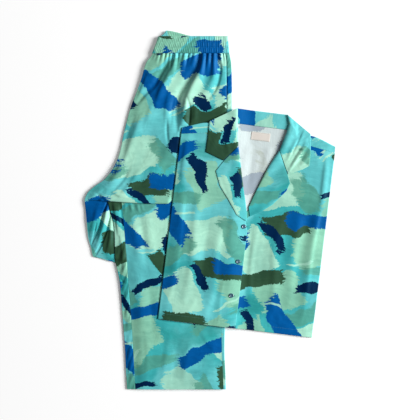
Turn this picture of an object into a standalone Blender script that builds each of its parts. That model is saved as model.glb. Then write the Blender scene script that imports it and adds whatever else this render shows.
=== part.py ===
"""Pyjama set laid flat: trousers folded in half lengthwise with a notched-collar shirt on top.

The set lies on Z = 0 with the waistband towards +Y. Blender's units are metres.
The tables and sizes below are in millimetres, and MM turns them into metres.
Right and left are the wearer's, so the right front is on the viewer's left.
"""

import math
from bisect import bisect_right
from collections import namedtuple

import bmesh
import bpy
from mathutils import Matrix, Vector

MM = 0.001

# Cloth and how it stacks
WALL = 1.2
COLLAR_WALL = 1.8
SEAM_GAP = 0.3
LAY_GAP = 0.4
FLAP_GAP = 0.55

# Trousers: heights above the floor
WAIST_TOP = 486.6
UNDER_LEG_TOP = 4.7
LEG_FLOOR = 5.0
LEG_TOP = 9.0
SEAT_START = 49.7
TUCK = 459.6
TUCK_OVERHANG = 6.0
TUCK_RISE = 1.7
TUCK_END = -110.0
TUCK_FADE = 14.0
LEG_START = 460.0
HEM = 987.5
LEG_RADIUS = (LEG_TOP - LEG_FLOOR) / 2
UNDER_INSET = 1.2
UNDER_WAIST = 2.0
UNDER_HEM = HEM - 3.0
SEAT_WRAP = 0.44
SEAT_BACK_END = 3.44
GATHERS = 18
GATHER_HEIGHT = 2.0
GATHER_SHORTEST = 55.0
GATHER_SPREAD = 65.0
PRESS_MARGIN = 25.0
PRESS_FADE = 13.0
CROTCH_START = 460.4
CROTCH_END = 617.0
CROTCH_SLOPE = 14.0
CROTCH_RIM = 0.9
CROTCH_TOP = 1.6

# Waistband
BAND_LEFT = (-142.5, -156.0)
BAND_RIGHT = (49.5, 53.5)
BAND_RIM = 0.7
BAND_BACK_INSET = 2.0
BAND_START = 0.8
BAND_END = 49.4
BAND_BACK_FLOOR = 5.0
BAND_BACK_TOP = 7.6
BAND_FRONT_FLOOR = 8.0
BAND_FRONT_TOP = 10.6
BAND_RIBS = 41
BAND_RIB_HEIGHT = 1.1
BAND_CHANNELS = 3
BAND_PUFF = 0.9

# Shirt: its own frame has u across and v up from the middle of the hem
SHIRT_TILT = math.radians(7.1)
SHIRT_HEM = (69.4, -330.1)
SHIRT_LIFT = LEG_TOP + LAY_GAP
DROP_START = 2.0
DROP_WIDTH = 58.0
SIDE = 217.0
SHIRT_UNDER_TOP = 3.6
UNDER_SIDE = SIDE - 4.2
CORNER_SIDE = SIDE - 9.2
UNDER_TOP_INSET = 6.0
UNDER_HEM_V = 2.0
BACK_TOP_INSET = 5.5
BACK_HEM_V = 1.2
BACK_FLOOR = 4.0
BACK_WALL = 1.0
FRONT_TOP = 6.6
PLACKET_RISE = 1.7
SHOULDER_FALL = 1.8
FLAP_FALL = 1.4
NECK_CORNER = 142.0
STAND_TOP = 6.2
STAND_SEAM = 568.0
FALL_WALL = 2.0
ROLL_RADIUS = 3.0
ROLL_DROP = FRONT_TOP - BACK_FLOOR - BACK_WALL
BUTTON_RADIUS = 6.2
BUTTON_THICK = 2.2
BUTTON_HOLE_RADIUS = 0.8
BUTTON_HOLE_SPACING = 1.6
BUTTON_STEPS = 16
LABEL_SIZE = (53.0, 23.0)
LABEL_CENTRE = (5.0, 540.0)
LABEL_THICK = 0.8

# A row is a section across the trousers, `down` from the waistband's top edge: the outermost left
# edge, the upper leg's left fold, the inseam and side seam on its top, and its right fold.
TrouserRow = namedtuple("TrouserRow", "down left fold inseam side right")
TROUSERS = (
    TrouserRow(0, -147, -147, -147, 38, 48),
    TrouserRow(25, -154, -154, -154, 40, 51),
    TrouserRow(50, -161, -161, -161, 42.5, 54),
    TrouserRow(75, -179, -179, -179, 45.5, 58.5),
    TrouserRow(120, -192.5, -192.5, -192.5, 46, 60.5),
    TrouserRow(152, -204, -204, -204, 46, 61),
    TrouserRow(197, -221.5, -221.5, -221.5, 46, 61),
    TrouserRow(273, -242, -242, -242, 45.5, 61),
    TrouserRow(318, -251, -251, -251, 45, 61),
    TrouserRow(346, -260, -260, -260, 44.5, 60.5),
    TrouserRow(376, -275.5, -275.5, -275.5, 44, 60),
    TrouserRow(403, -298, -298, -298, 43.5, 59),
    TrouserRow(421, -324, -324, -324, 43, 58.5),
    TrouserRow(440, -344, -344, -344, 42.5, 58),
    TrouserRow(459.8, -351, -351, -351, 42, 57.5),
    TrouserRow(460, -351, -288.5, -248, 42, 57.5),
    TrouserRow(485, -348.5, -281, -245, 41, 56.5),
    TrouserRow(521, -345, -270.5, -241.5, 40, 55.5),
    TrouserRow(562, -341, -267.5, -238, 39, 54),
    TrouserRow(592, -333, -267, -235.5, 38, 53),
    TrouserRow(617, -327, -266.5, -233, 37, 52),
    TrouserRow(632, -266, -265, -232, 36.5, 51),
    TrouserRow(654, -261, -260, -231, 35.5, 50),
    TrouserRow(690, -253.5, -253, -228.5, 34.5, 48),
    TrouserRow(751, -248.5, -248, -223.5, 33, 45),
    TrouserRow(809, -244, -243.5, -219, 31.5, 41.5),
    TrouserRow(876, -239, -238.5, -215, 32.5, 40),
    TrouserRow(941, -236, -235.5, -211.5, 35.5, 42.5),
    TrouserRow(988, -233, -232.5, -209, 37.5, 44),
)

# The back waistband's top edge, `rise` above the front's, where it peeks out
PeekRow = namedtuple("PeekRow", "x rise")
BAND_PEEK = (
    PeekRow(-142, -2),
    PeekRow(-130, 6.4),
    PeekRow(-121.8, 15.6),
    PeekRow(-95, 11.2),
    PeekRow(-61, 2),
    PeekRow(-40, -2),
    PeekRow(60, -2.5),
)

# Folds and pleats: each is a ridge (or a trough, if its height is negative) between two places
FoldRow = namedtuple("FoldRow", "x0 y0 x1 y1 width height")
SEAT_FOLDS = (
    FoldRow(-27, 95, -111, 137, 8, 1.8),
    FoldRow(-111, 137, -167, 180, 8, 1.5),
    FoldRow(-83, 137, -66, 250, 7, 1.2),
    FoldRow(-60, 100, -57, 235, 8, 1.0),
    FoldRow(-150, 215, -235, 330, 12, 0.9),
    FoldRow(-205, 445, -120, 438, 8, 0.8),
)
LEG_FOLDS = (
    FoldRow(-215, 500, -190, 640, 10, 0.8),
    FoldRow(-170, 480, -160, 600, 11, 0.7),
    FoldRow(-120, 850, -132, 960, 9, 0.7),
    FoldRow(-20, 925, 30, 922, 5, 0.8),
    FoldRow(-60, 880, -70, 965, 10, 0.7),
)
CROTCH_PLEATS = (
    FoldRow(-303, 485, -318, 560, 5, 1.5),
    FoldRow(-318, 560, -329, 606, 4, 1.3),
    FoldRow(-292, 480, -298, 530, 4, 1.4),
    FoldRow(-298, 530, -320, 598, 4, 1.4),
    FoldRow(-282, 545, -296, 606, 6, 1.1),
    FoldRow(-334, 520, -336, 580, 4, 0.9),
)
SHIRT_FOLDS = (
    FoldRow(-168, 60, -160, 330, 12, 1.1),
    FoldRow(-120, 20, -112, 210, 10, 0.9),
    FoldRow(-75, 120, -95, 300, 12, 0.8),
    FoldRow(60, 30, 92, 240, 13, 1.1),
    FoldRow(130, 60, 150, 330, 12, 1.1),
    FoldRow(180, 20, 176, 240, 10, 0.9),
    FoldRow(40, 250, 80, 120, 11, 0.7),
)

# The shirt's top edge, symmetrical about u = 0, and its shoulder seams, which lie forward of it
EdgeRow = namedtuple("EdgeRow", "u top shoulder seam")
SHIRT_TOP = (
    EdgeRow(0, 610, 560, 545),
    EdgeRow(68.5, 610, 560, 544.5),
    EdgeRow(142, 561, 560, 532),
    EdgeRow(216, 538, 538, 520),
)

# The inner edges of the two fronts: the placket, and above it the line where the lapels roll
OpeningRow = namedtuple("OpeningRow", "v right_front left_front")
OPENING = (
    OpeningRow(0, 1, -30),
    OpeningRow(270, 0, -30),
    OpeningRow(298, -6.5, -24),
    OpeningRow(334, -12.6, -4),
    OpeningRow(374, -24, 10),
    OpeningRow(408, -33, 22.5),
    OpeningRow(442, -42, 34.5),
    OpeningRow(470, -49, 46.5),
    OpeningRow(508, -58, 65.5),
    OpeningRow(550, -65.5, 77),
)

# Lapels and collar falls: each row runs from the roll line out to the free edge
FlapRow = namedtuple("FlapRow", "roll_u roll_v edge_u edge_v")
LAPEL_RIGHT = (
    FlapRow(-4.5, 301, -12, 303),
    FlapRow(-8.6, 330, -35, 315),
    FlapRow(-15, 356, -61, 351),
    FlapRow(-25, 392, -91, 389),
    FlapRow(-40, 452, -108, 429),
    FlapRow(-53, 505, -89, 459),
)
LAPEL_LEFT = (
    FlapRow(-4, 341, 3, 315),
    FlapRow(6, 374, 33, 333),
    FlapRow(18, 408, 61, 355),
    FlapRow(30, 442, 95, 398),
    FlapRow(42, 470, 102, 421),
    FlapRow(61, 508, 93, 443),
)
COLLAR_RIGHT = (
    FlapRow(-53.6, 507, -90, 460.6),
    FlapRow(-55.5, 520, -116, 469.5),
    FlapRow(-58, 534, -142, 478),
    FlapRow(-62, 560, -142, 510),
    FlapRow(-65, 585, -142, 538),
    FlapRow(-68, 611, -142, 564),
)
COLLAR_LEFT = (
    FlapRow(61.8, 510, 94, 445),
    FlapRow(65, 523, 132, 463),
    FlapRow(69, 538, 150, 476),
    FlapRow(75, 562, 150, 507),
    FlapRow(78, 585, 146, 537),
    FlapRow(69.5, 611, 142, 564),
)

# The collar stand's ends, just inside the roll lines
StandRow = namedtuple("StandRow", "v right left")
STAND = (
    StandRow(560, -61, 73.5),
    StandRow(585, -64, 75.5),
    StandRow(598, -65.5, 71.8),
    StandRow(611, -66.8, 67.6),
)

ButtonRow = namedtuple("ButtonRow", "u v")
BUTTONS = (ButtonRow(-11, 285), ButtonRow(-15, 186), ButtonRow(-22, 90))

# Steps of a layered edge: two rounded layers with a notch between them, as shares of the height
LevelRow = namedtuple("LevelRow", "height inset")
LAYERED_EDGE = (
    LevelRow(0.0, 1.0),
    LevelRow(0.22, 0.2),
    LevelRow(0.42, 0.9),
    LevelRow(0.54, 0.9),
    LevelRow(0.76, 0.2),
    LevelRow(1.0, 1.0),
)

# Colours, roughness
ROYAL = (0.01, 0.10, 0.34)
TEAL = (0.05, 0.30, 0.32)
AQUA = (0.12, 0.50, 0.50)
SAGE = (0.06, 0.17, 0.10)
INSIDE = (0.52, 0.60, 0.62)
LABEL_WHITE = (0.80, 0.78, 0.73)
BUTTON_BLUE = (0.10, 0.16, 0.24)
CLOTH_ROUGHNESS = 0.55
BUTTON_ROUGHNESS = 0.25


def blend(start, end, share):
    return start + (end - start) * share


def smooth(share):
    """An S-curve from 0 to 1."""
    share = min(max(share, 0.0), 1.0)
    return share * share * (3.0 - 2.0 * share)


def steps(start, end, count):
    """Evenly spaced places, both ends included."""
    return [blend(start, end, k / count) for k in range(count + 1)]


def column(table, name, place):
    """A table's named column at a place along its first one, smooth between rows without overshoot."""
    places = [row[0] for row in table]
    values = [getattr(row, name) for row in table]
    if place <= places[0]:
        return values[0]
    if place >= places[-1]:
        return values[-1]
    k = bisect_right(places, place) - 1
    secants = [(values[i + 1] - values[i]) / (places[i + 1] - places[i]) for i in range(len(table) - 1)]

    def slope(i):
        if i == 0 or i == len(table) - 1:
            return secants[min(i, len(secants) - 1)]
        before, after = secants[i - 1], secants[i]
        return 0.0 if before * after <= 0 else 2 * before * after / (before + after)

    span = places[k + 1] - places[k]
    t = (place - places[k]) / span
    rise = values[k + 1] - values[k]
    start_pull = span * slope(k) * t * (1 - t) ** 2
    end_pull = span * slope(k + 1) * t * t * (1 - t)
    return values[k] + rise * t * t * (3 - 2 * t) + start_pull - end_pull


def row_at(table, place):
    """A table's rows read as a list, with straight runs between them: place 1.5 is halfway past row 1."""
    k = min(int(place), len(table) - 2)
    pairs = zip(table[k], table[k + 1])
    return type(table[0])(*(blend(a, b, place - k) for a, b in pairs))


def folds(table, x, y):
    """Height that a table of folds adds at a place: round-topped ridges that fade at their ends."""
    total = 0.0
    for fold in table:
        along_x, along_y = fold.x1 - fold.x0, fold.y1 - fold.y0
        length = math.hypot(along_x, along_y)
        share = ((x - fold.x0) * along_x + (y - fold.y0) * along_y) / length**2
        off = ((x - fold.x0) * along_y - (y - fold.y0) * along_x) / length
        beyond = max(-share, share - 1.0, 0.0) * length
        total += fold.height * math.exp(-((off / fold.width) ** 2) - (beyond / (1.6 * fold.width)) ** 2)
    return total


# ---------------------------------------------------------------- building


def start_scene():
    for thing in list(bpy.data.objects):
        bpy.data.objects.remove(thing)
    parts = bpy.data.collections.new("pyjama_set")
    cutters = bpy.data.collections.new("cutters")
    for group in (parts, cutters):
        bpy.context.scene.collection.children.link(group)
    return parts, cutters


def finish_of(name, colour, roughness):
    material = bpy.data.materials.new(name)
    material.use_nodes = True
    shader = material.node_tree.nodes["Principled BSDF"]
    shader.inputs["Base Color"].default_value = (*colour, 1.0)
    shader.inputs["Roughness"].default_value = roughness
    shader.inputs["Metallic"].default_value = 0.0
    return material


def add_part(name, shell, collection, colour, roughness=CLOTH_ROUGHNESS):
    bmesh.ops.recalc_face_normals(shell, faces=shell.faces[:])
    if shell.calc_volume(signed=True) < 0:
        bmesh.ops.reverse_faces(shell, faces=shell.faces[:])
    mesh = bpy.data.meshes.new(name)
    shell.to_mesh(mesh)
    shell.free()
    mesh.shade_smooth()
    mesh.set_sharp_from_angle(angle=math.radians(40))
    mesh.materials.append(finish_of(name, colour, roughness))
    part = bpy.data.objects.new(name, mesh)
    collection.objects.link(part)
    return part


def plan_grid(across, along):
    """A flat grid of faces whose corners are numbered by their places in the two lists."""
    shell = bmesh.new()
    columns, rows = len(across) - 1, len(along) - 1
    bmesh.ops.create_grid(shell, x_segments=columns, y_segments=rows, size=0.5)

    def stations(vert):
        return across[round((vert.co.x + 0.5) * columns)], along[round((vert.co.y + 0.5) * rows)]

    return shell, stations


def wall(across, along, surface, thin_from=None, flat_inside=False):
    """A cloth wall: a grid with a raised copy, both laid out by surface(across, along, inside).

    From the column and the row in `thin_from` every other column is taken out, and on the plain
    inside from the first row: only the gathers need them. A flat inside is one face.
    """
    shell, stations = plan_grid(across, along)
    inner = {vert: stations(vert) for vert in shell.verts}
    lifted = bmesh.ops.extrude_face_region(shell, geom=shell.faces[:])["geom"]
    outer = {vert: stations(vert) for vert in lifted if isinstance(vert, bmesh.types.BMVert)}
    for layer, inside in ((inner, True), (outer, False)):
        for vert, (a, b) in layer.items():
            vert.co = Vector(surface(a, b, inside)) * MM
    if thin_from is not None:
        odd = set(across[thin_from[0] + 1 :: 2])
        spare = []
        for layer, first in ((inner, along[0]), (outer, thin_from[1])):
            for edge in shell.edges:
                if all(v in layer and layer[v][0] in odd and layer[v][1] >= first for v in edge.verts):
                    spare.append(edge)
        bmesh.ops.dissolve_edges(shell, edges=spare, use_verts=False)
        bmesh.ops.dissolve_verts(shell, verts=[v for v in shell.verts if len(v.link_edges) == 2])
    if flat_inside:
        plain = [face for face in shell.faces if all(vert in inner for vert in face.verts)]
        bmesh.ops.dissolve_faces(shell, faces=plain, use_verts=False)
    return shell


def layered_solid(across, along, plan, top):
    """Hidden layers as one solid: a plan grid extruded up the steps of a layered edge."""
    shell, stations = plan_grid(across, along)
    place = {vert: stations(vert) for vert in shell.verts}
    cap = shell.faces[:]
    for k, level in enumerate(LAYERED_EDGE):
        if k:
            edges = list({edge for face in cap for edge in face.edges})
            lifted = bmesh.ops.extrude_face_region(shell, geom=cap + (edges if k > 1 else []))["geom"]
            cap = [face for face in lifted if isinstance(face, bmesh.types.BMFace)]
            verts = {vert for face in cap for vert in face.verts}
            place = {vert: home[vert.co.copy().freeze()] for vert in verts}
        home = {}
        for vert, (a, b) in place.items():
            vert.co = Vector(plan(a, b, level.inset, level.height * top)) * MM
            home[vert.co.copy().freeze()] = (a, b)
    return shell


# ---------------------------------------------------------------- trousers


def shirt_place(u, v):
    """A place in the shirt's frame, in the set's."""
    cos, sin = math.cos(SHIRT_TILT), math.sin(SHIRT_TILT)
    return SHIRT_HEM[0] + u * cos + v * sin, SHIRT_HEM[1] - u * sin + v * cos


def shirt_frame(x, y):
    """A place in the set's frame, in the shirt's."""
    cos, sin = math.cos(SHIRT_TILT), math.sin(SHIRT_TILT)
    x, y = x - SHIRT_HEM[0], y - SHIRT_HEM[1]
    return x * cos - y * sin, x * sin + y * cos


def uncovered(x, down):
    """1 where the trousers are bare, 0 where the shirt presses them flat."""
    u, v = shirt_frame(x, WAIST_TOP - down)
    top = column(SHIRT_TOP, "top", abs(u))
    inside = (u + SIDE, top - v, v)
    return 1.0 - math.prod(smooth((depth + PRESS_MARGIN) / PRESS_FADE) for depth in inside)


def tube_point(down, along, inset):
    """A place on the upper leg, a flattened tube: along runs 0 to 1 over the top from left to right,
    to 2 round the right fold, to 3 back underneath, and to 4 round the left fold."""
    left = column(TROUSERS, "fold", down) + LEG_RADIUS
    right = column(TROUSERS, "right", down) - LEG_RADIUS
    reach = LEG_RADIUS - inset
    middle = LEG_FLOOR + LEG_RADIUS
    along %= 4
    if along < 1:
        return blend(left, right, along), middle + reach
    if along < 2:
        angle = (along - 1) * math.pi
        return right + reach * math.sin(angle), middle + reach * math.cos(angle)
    if along < 3:
        return blend(right, left, along - 2), middle - reach
    angle = (along - 3) * math.pi
    return left - reach * math.sin(angle), middle - reach * math.cos(angle)


def share_across(down, name, shift=0.0):
    """Where a seam lies over the tube's top, as a share of its width."""
    left = column(TROUSERS, "fold", down) + LEG_RADIUS
    right = column(TROUSERS, "right", down) - LEG_RADIUS
    return (column(TROUSERS, name, down) + shift - left) / (right - left)


def edge_fade(x, down):
    """0 at the tube's folds and 1 away from them."""
    from_fold = (x - column(TROUSERS, "fold", down)) / 14
    from_right = (column(TROUSERS, "right", down) - x) / 10
    return smooth(from_fold) * smooth(from_right)


def gather(share, down):
    """Gathers that fan down from the waistband, each of its own length."""
    number = round(share * GATHERS)
    length = GATHER_SHORTEST + GATHER_SPREAD * abs(math.sin(2.3 * number + 0.6))
    wave = 0.5 - 0.5 * math.cos(2 * math.pi * GATHERS * share)
    return GATHER_HEIGHT * wave * (1 - smooth((down - SEAT_START) / length))


def tuck_rise(x, down):
    """How far the tuck's lip lifts the seat's lower edge, so that it lies over the leg."""
    return TUCK_RISE * smooth((down - TUCK) / TUCK_FADE + 1) * (1 - smooth((x - TUCK_END) / TUCK_FADE + 1))


def seat_front(across, down, inside):
    inset = WALL if inside else 0.0
    over = max(down - TUCK, 0.0)
    down = min(down, TUCK)
    side = share_across(down, "side", -SEAM_GAP)
    if across < 0:
        x, z = tube_point(down, across, inset)
        z += tuck_rise(x, down) * (1 + across * 2)
    else:
        x, z = tube_point(down, across * side, inset)
        z += tuck_rise(x, down)
        if not inside:
            relief = gather(across, down) + folds(SEAT_FOLDS, x, down)
            z += relief * edge_fade(x, down) * uncovered(x, down)
    over *= 1 - smooth((x - TUCK_END) / TUCK_FADE + 2.2)
    return x, WAIST_TOP - down - over, z


def leg_front(across, down, inside):
    inseam, side = share_across(down, "inseam"), share_across(down, "side", -SEAM_GAP)
    x, z = tube_point(down, blend(inseam, side, across), WALL if inside else 0.0)
    if not inside:
        z += folds(LEG_FOLDS, x, down) * uncovered(x, down)
    return x, WAIST_TOP - down, z


def back_along(across, down, last):
    """The back's places round the tube: from the side seam (0) over the right fold (1 to 2), underneath
    (to 3), round the left fold (to 4) and on to the inseam (5)."""
    if across < 1:
        return blend(share_across(down, "side"), 1.0, across)
    if across <= 4:
        return min(across, last)
    return 4 + share_across(down, "inseam", -SEAM_GAP) * (across - 4)


def seat_back(across, down, inside):
    x, z = tube_point(down, back_along(across, down, SEAT_BACK_END), WALL if inside else 0.0)
    return x, WAIST_TOP - down, z


def leg_back(across, down, inside):
    x, z = tube_point(down, back_along(across, down, 4.0), WALL if inside else 0.0)
    return x, WAIST_TOP - down, z


def crotch(across, share, inside):
    """The pleated crotch extension: it lies lower, beside the upper leg's fold."""
    row = blend(CROTCH_START, CROTCH_END, share)
    left = column(TROUSERS, "left", row) + (CROTCH_RIM if inside else 0.0)
    right = column(TROUSERS, "fold", row) - 2 * SEAM_GAP
    x = blend(left, right, across)
    down = blend(CROTCH_START, CROTCH_END + CROTCH_SLOPE * smooth(across), share)
    if inside:
        return x, WAIST_TOP - down, LEG_FLOOR
    rim = smooth((x - left) / (4 * CROTCH_TOP))
    pleats = folds(CROTCH_PLEATS, x, down) * rim * smooth((down - TUCK - TUCK_OVERHANG) / 20)
    return x, WAIST_TOP - down, LEG_FLOOR + blend(CROTCH_RIM, CROTCH_TOP, rim) + pleats


def under_leg(across, share, inset, height):
    down = blend(UNDER_WAIST + inset, UNDER_HEM - inset, share)
    left = column(TROUSERS, "left", down) + UNDER_INSET + inset
    right = column(TROUSERS, "right", down) - UNDER_INSET - inset
    return blend(left, right, across), WAIST_TOP - down, height


def band_point(across, share, inset, top_rise=0.0):
    """A place on a waistband, whose ends slope out a little downwards."""
    left = blend(*BAND_LEFT, share) + inset
    right = blend(*BAND_RIGHT, share) - inset
    return blend(left, right, across), WAIST_TOP - blend(BAND_START - top_rise, BAND_END, share)


def band_front(across, share, inside):
    x, y = band_point(across, share, BAND_RIM if inside else 0.0)
    if inside:
        return x, y, BAND_FRONT_FLOOR
    rib = 0.5 - 0.5 * math.cos(2 * math.pi * BAND_RIBS * across)
    puff = abs(math.sin(math.pi * BAND_CHANNELS * share))
    rim = smooth(min(across, 1 - across) * BAND_RIBS / 2)
    ribbing = BAND_PUFF * puff + BAND_RIB_HEIGHT * rib * blend(0.6, 1, puff)
    return x, y, blend((BAND_FRONT_FLOOR + BAND_FRONT_TOP) / 2, BAND_FRONT_TOP + ribbing, rim)


def band_back(across, share, inside):
    inset = BAND_BACK_INSET + (BAND_RIM if inside else 0.0)
    x, y = band_point(across, share, inset)
    rise = column(BAND_PEEK, "rise", x) - (BAND_RIM if inside else 0.0)
    x, y = band_point(across, share, inset, rise)
    return x, y, BAND_BACK_FLOOR if inside else BAND_BACK_TOP


def build_trousers(parts):
    crotch_rows = [0.41, 0.435, 0.46, 0.5, 0.56, 0.61, 0.626, 0.641, 0.66]
    under_rows = steps(0, 0.38, 6) + crotch_rows + steps(0.7, 1, 6)
    shell = layered_solid([0, 1], under_rows, under_leg, UNDER_LEG_TOP)
    add_part("trouser_under_layers", shell, parts, TEAL)

    seat_rows = [SEAT_START, 62, 75, 90, 106, 122, 150] + steps(175, 415, 8) + [430, 443, 451, TUCK]
    across = [-SEAT_WRAP, -SEAT_WRAP / 2] + steps(0, 1, 2 * GATHERS)
    shell = wall(across, seat_rows + [TUCK + TUCK_OVERHANG], seat_front, thin_from=(2, 175))
    add_part("trouser_front_seat", shell, parts, AQUA)

    fold_stations = [0, 0.5, 1, 1.25, 1.5, 1.75, 2, 2.33, 2.67, 3]
    shell = wall(fold_stations + [3.16, 3.3, SEAT_BACK_END], seat_rows, seat_back)
    add_part("trouser_back_seat", shell, parts, TEAL)

    leg_rows = [LEG_START, 485, 521] + steps(562, HEM, 12)
    shell = wall(steps(0, 1, 20), leg_rows, leg_front, flat_inside=True)
    add_part("trouser_front_leg", shell, parts, AQUA)
    shell = wall(fold_stations + [3.25, 3.5, 3.75, 4, 4.33, 4.67, 5], leg_rows, leg_back)
    add_part("trouser_back_leg", shell, parts, TEAL)

    shell = wall(steps(0, 1, 10), steps(0, 1, 12), crotch, flat_inside=True)
    add_part("trouser_crotch", shell, parts, SAGE)

    shell = wall(steps(0, 1, 2 * BAND_RIBS), steps(0, 1, 2 * BAND_CHANNELS), band_front, flat_inside=True)
    add_part("waistband_front", shell, parts, ROYAL)
    shell = wall(steps(0, 1, 24), steps(0, 1, 2), band_back, flat_inside=True)
    add_part("waistband_back", shell, parts, ROYAL)


# ---------------------------------------------------------------- shirt


def shirt_base(u, v):
    """What the shirt lies on: the trousers, and past their right fold a soft drop to the floor."""
    x, y = shirt_place(u, v)
    edge = column(TROUSERS, "right", WAIST_TOP - y)
    return SHIRT_LIFT * (1 - smooth((x - edge - DROP_START) / DROP_WIDTH))


def drop_edge(v):
    """Where the drop starts, in the shirt's frame."""
    x, y = shirt_place(-50, v)
    edge = column(TROUSERS, "right", WAIST_TOP - y)
    return shirt_frame(edge + DROP_START, y)[0]


def shirt_point(u, v, height):
    """A point of the shirt, `height` above what it lies on."""
    x, y = shirt_place(u, v)
    return x, y, shirt_base(u, v) + height


def across_drop(left, right, v, across):
    """Columns over the whole width: to 1 at the neck's corner, to 2 at the drop, to 3 across it, to 4
    at the other corner and to 5 at the side."""
    start = drop_edge(v)
    knots = (left, -NECK_CORNER, start, start + DROP_WIDTH, NECK_CORNER, right)
    k = min(int(across), 4)
    return blend(knots[k], knots[k + 1], across - k)


def inner_side(v):
    """How far out the hidden layers reach: inside the fronts' side folds and the shoulders' corners."""
    return blend(UNDER_SIDE, CORNER_SIDE, smooth((v - 495) / 20))


def shirt_under(across, share, inset, height):
    v_middle = blend(3, 590, share)
    side = inner_side(v_middle) - inset
    u = across_drop(-side, side, v_middle, across)
    top = column(SHIRT_TOP, "top", abs(u)) - UNDER_TOP_INSET - inset
    return shirt_point(u, blend(UNDER_HEM_V + inset, top, share), height)


def shirt_back(across, share, inside):
    v_middle = blend(3, 560, share)
    side = inner_side(v_middle) - 0.5
    u = across_drop(-side, side, v_middle, across)
    top = column(SHIRT_TOP, "shoulder", abs(u)) - BACK_TOP_INSET
    v = blend(BACK_HEM_V, top, share)
    return shirt_point(u, v, BACK_FLOOR + (0 if inside else BACK_WALL))


def placket_rise(u, v):
    """The right front climbs over the left one's edge along the placket."""
    return PLACKET_RISE * smooth((u + 68) / 32) * (1 - smooth((v - 325) / 50))


def front_relief(u, v):
    """Folds of the fronts, which lie flat under the collar, lapels and buttons."""
    clear_side = smooth((SIDE - abs(u)) / 14)
    clear_top = 1 - smooth((v - 320) / 50)
    clear_placket = smooth((abs(u + 14) - 22) / 14)
    return folds(SHIRT_FOLDS, u, v) * clear_side * clear_top * clear_placket


def front(hand, across, share, inside):
    """One front: across runs 0 to 1 from the opening to the side and to 2 round the side's fold."""
    name, sign = ("right_front", -1) if hand == "right" else ("left_front", 1)
    inset = WALL if inside else 0.0
    radius = FRONT_TOP / 2
    opening = column(OPENING, name, share * SHIRT_TOP[0].seam)
    fold_line = sign * (SIDE - radius)
    u = blend(opening, fold_line, min(across, 1.0))
    v = share * column(SHIRT_TOP, "seam", abs(u))
    if across > 1:
        angle = (across - 1) * math.pi
        reach = radius - inset
        return shirt_point(u + sign * reach * math.sin(angle), v, radius + reach * math.cos(angle))
    height = FRONT_TOP - inset
    if hand == "right":
        height += placket_rise(u, v)
    if not inside:
        height += front_relief(u, v)
    return shirt_point(u, v, height)


def right_front(across, share, inside):
    return front("right", across, share, inside)


def left_front(across, share, inside):
    return front("left", across, share, inside)


def shoulder(sign, across, u_share, inside):
    """The back's strip that comes forward over a shoulder: across 0 to 1 from the seam to the top
    edge and to 2 round its fold."""
    u = blend(NECK_CORNER - 2, SIDE - 1.2, u_share)
    height = FRONT_TOP - SHOULDER_FALL * smooth((u - SIDE + 7) / 6)
    radius = height / 2
    inset = WALL if inside else 0.0
    seam = column(SHIRT_TOP, "seam", min(u, SIDE - FRONT_TOP / 2)) + SEAM_GAP
    edge = column(SHIRT_TOP, "shoulder", u) - radius
    if across <= 1:
        return shirt_point(sign * u, blend(seam, edge, across), height - inset)
    angle = (across - 1) * math.pi
    reach = radius - inset
    return shirt_point(sign * u, edge + reach * math.sin(angle), radius + reach * math.cos(angle))


def stand(across, v_share, inside):
    """The collar's stand behind the neck: v_share 0 to 1 up to the top fold and to 2 round it."""
    radius = STAND_TOP / 2
    inset = COLLAR_WALL if inside else 0.0
    edge = column(SHIRT_TOP, "top", 0) - radius
    v = blend(STAND_SEAM + SEAM_GAP, edge, min(v_share, 1.0))
    u = blend(column(STAND, "right", v), column(STAND, "left", v), across)
    if v_share <= 1:
        return shirt_point(u, v, STAND_TOP - inset)
    angle = (v_share - 1) * math.pi
    reach = radius - inset
    return shirt_point(u, edge + reach * math.sin(angle), radius + reach * math.cos(angle))


def flap(table, thickness, lower):
    """A lapel or collar fall: it lies on the front and rolls down at the line where it is turned."""

    def surface(across, place, inside):
        row = row_at(table, place)
        u = blend(row.roll_u, row.edge_u, across)
        v = blend(row.roll_v, row.edge_v, across)
        width = math.hypot(row.edge_u - row.roll_u, row.edge_v - row.roll_v)
        from_roll = min(across * width / ROLL_RADIUS, 1.0)
        roll = ROLL_DROP * (1 - math.sqrt(1 - (1 - from_roll) ** 2))
        rim = 0.5 * thickness * (1 - smooth((1 - across) * width / 2.5))
        floor = FRONT_TOP + FLAP_GAP - lower(u, v) - roll
        if table is LAPEL_RIGHT:
            floor += placket_rise(u, v)
        return shirt_point(u, v, floor + (0 if inside else thickness - rim))

    return surface


def no_drop(u, v):
    return 0.0


def past_shoulder(u, v):
    """The falls come down behind the shoulder's edge, where nothing lies under them."""
    return FLAP_FALL * smooth((v - column(SHIRT_TOP, "shoulder", abs(u)) - 2) / 26)


def label_surface(across, along, inside):
    u = LABEL_CENTRE[0] + (across - 0.5) * LABEL_SIZE[0]
    v = LABEL_CENTRE[1] + (along - 0.5) * LABEL_SIZE[1]
    return shirt_point(u, v, BACK_FLOOR + BACK_WALL + SEAM_GAP + (0 if inside else LABEL_THICK))


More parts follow.
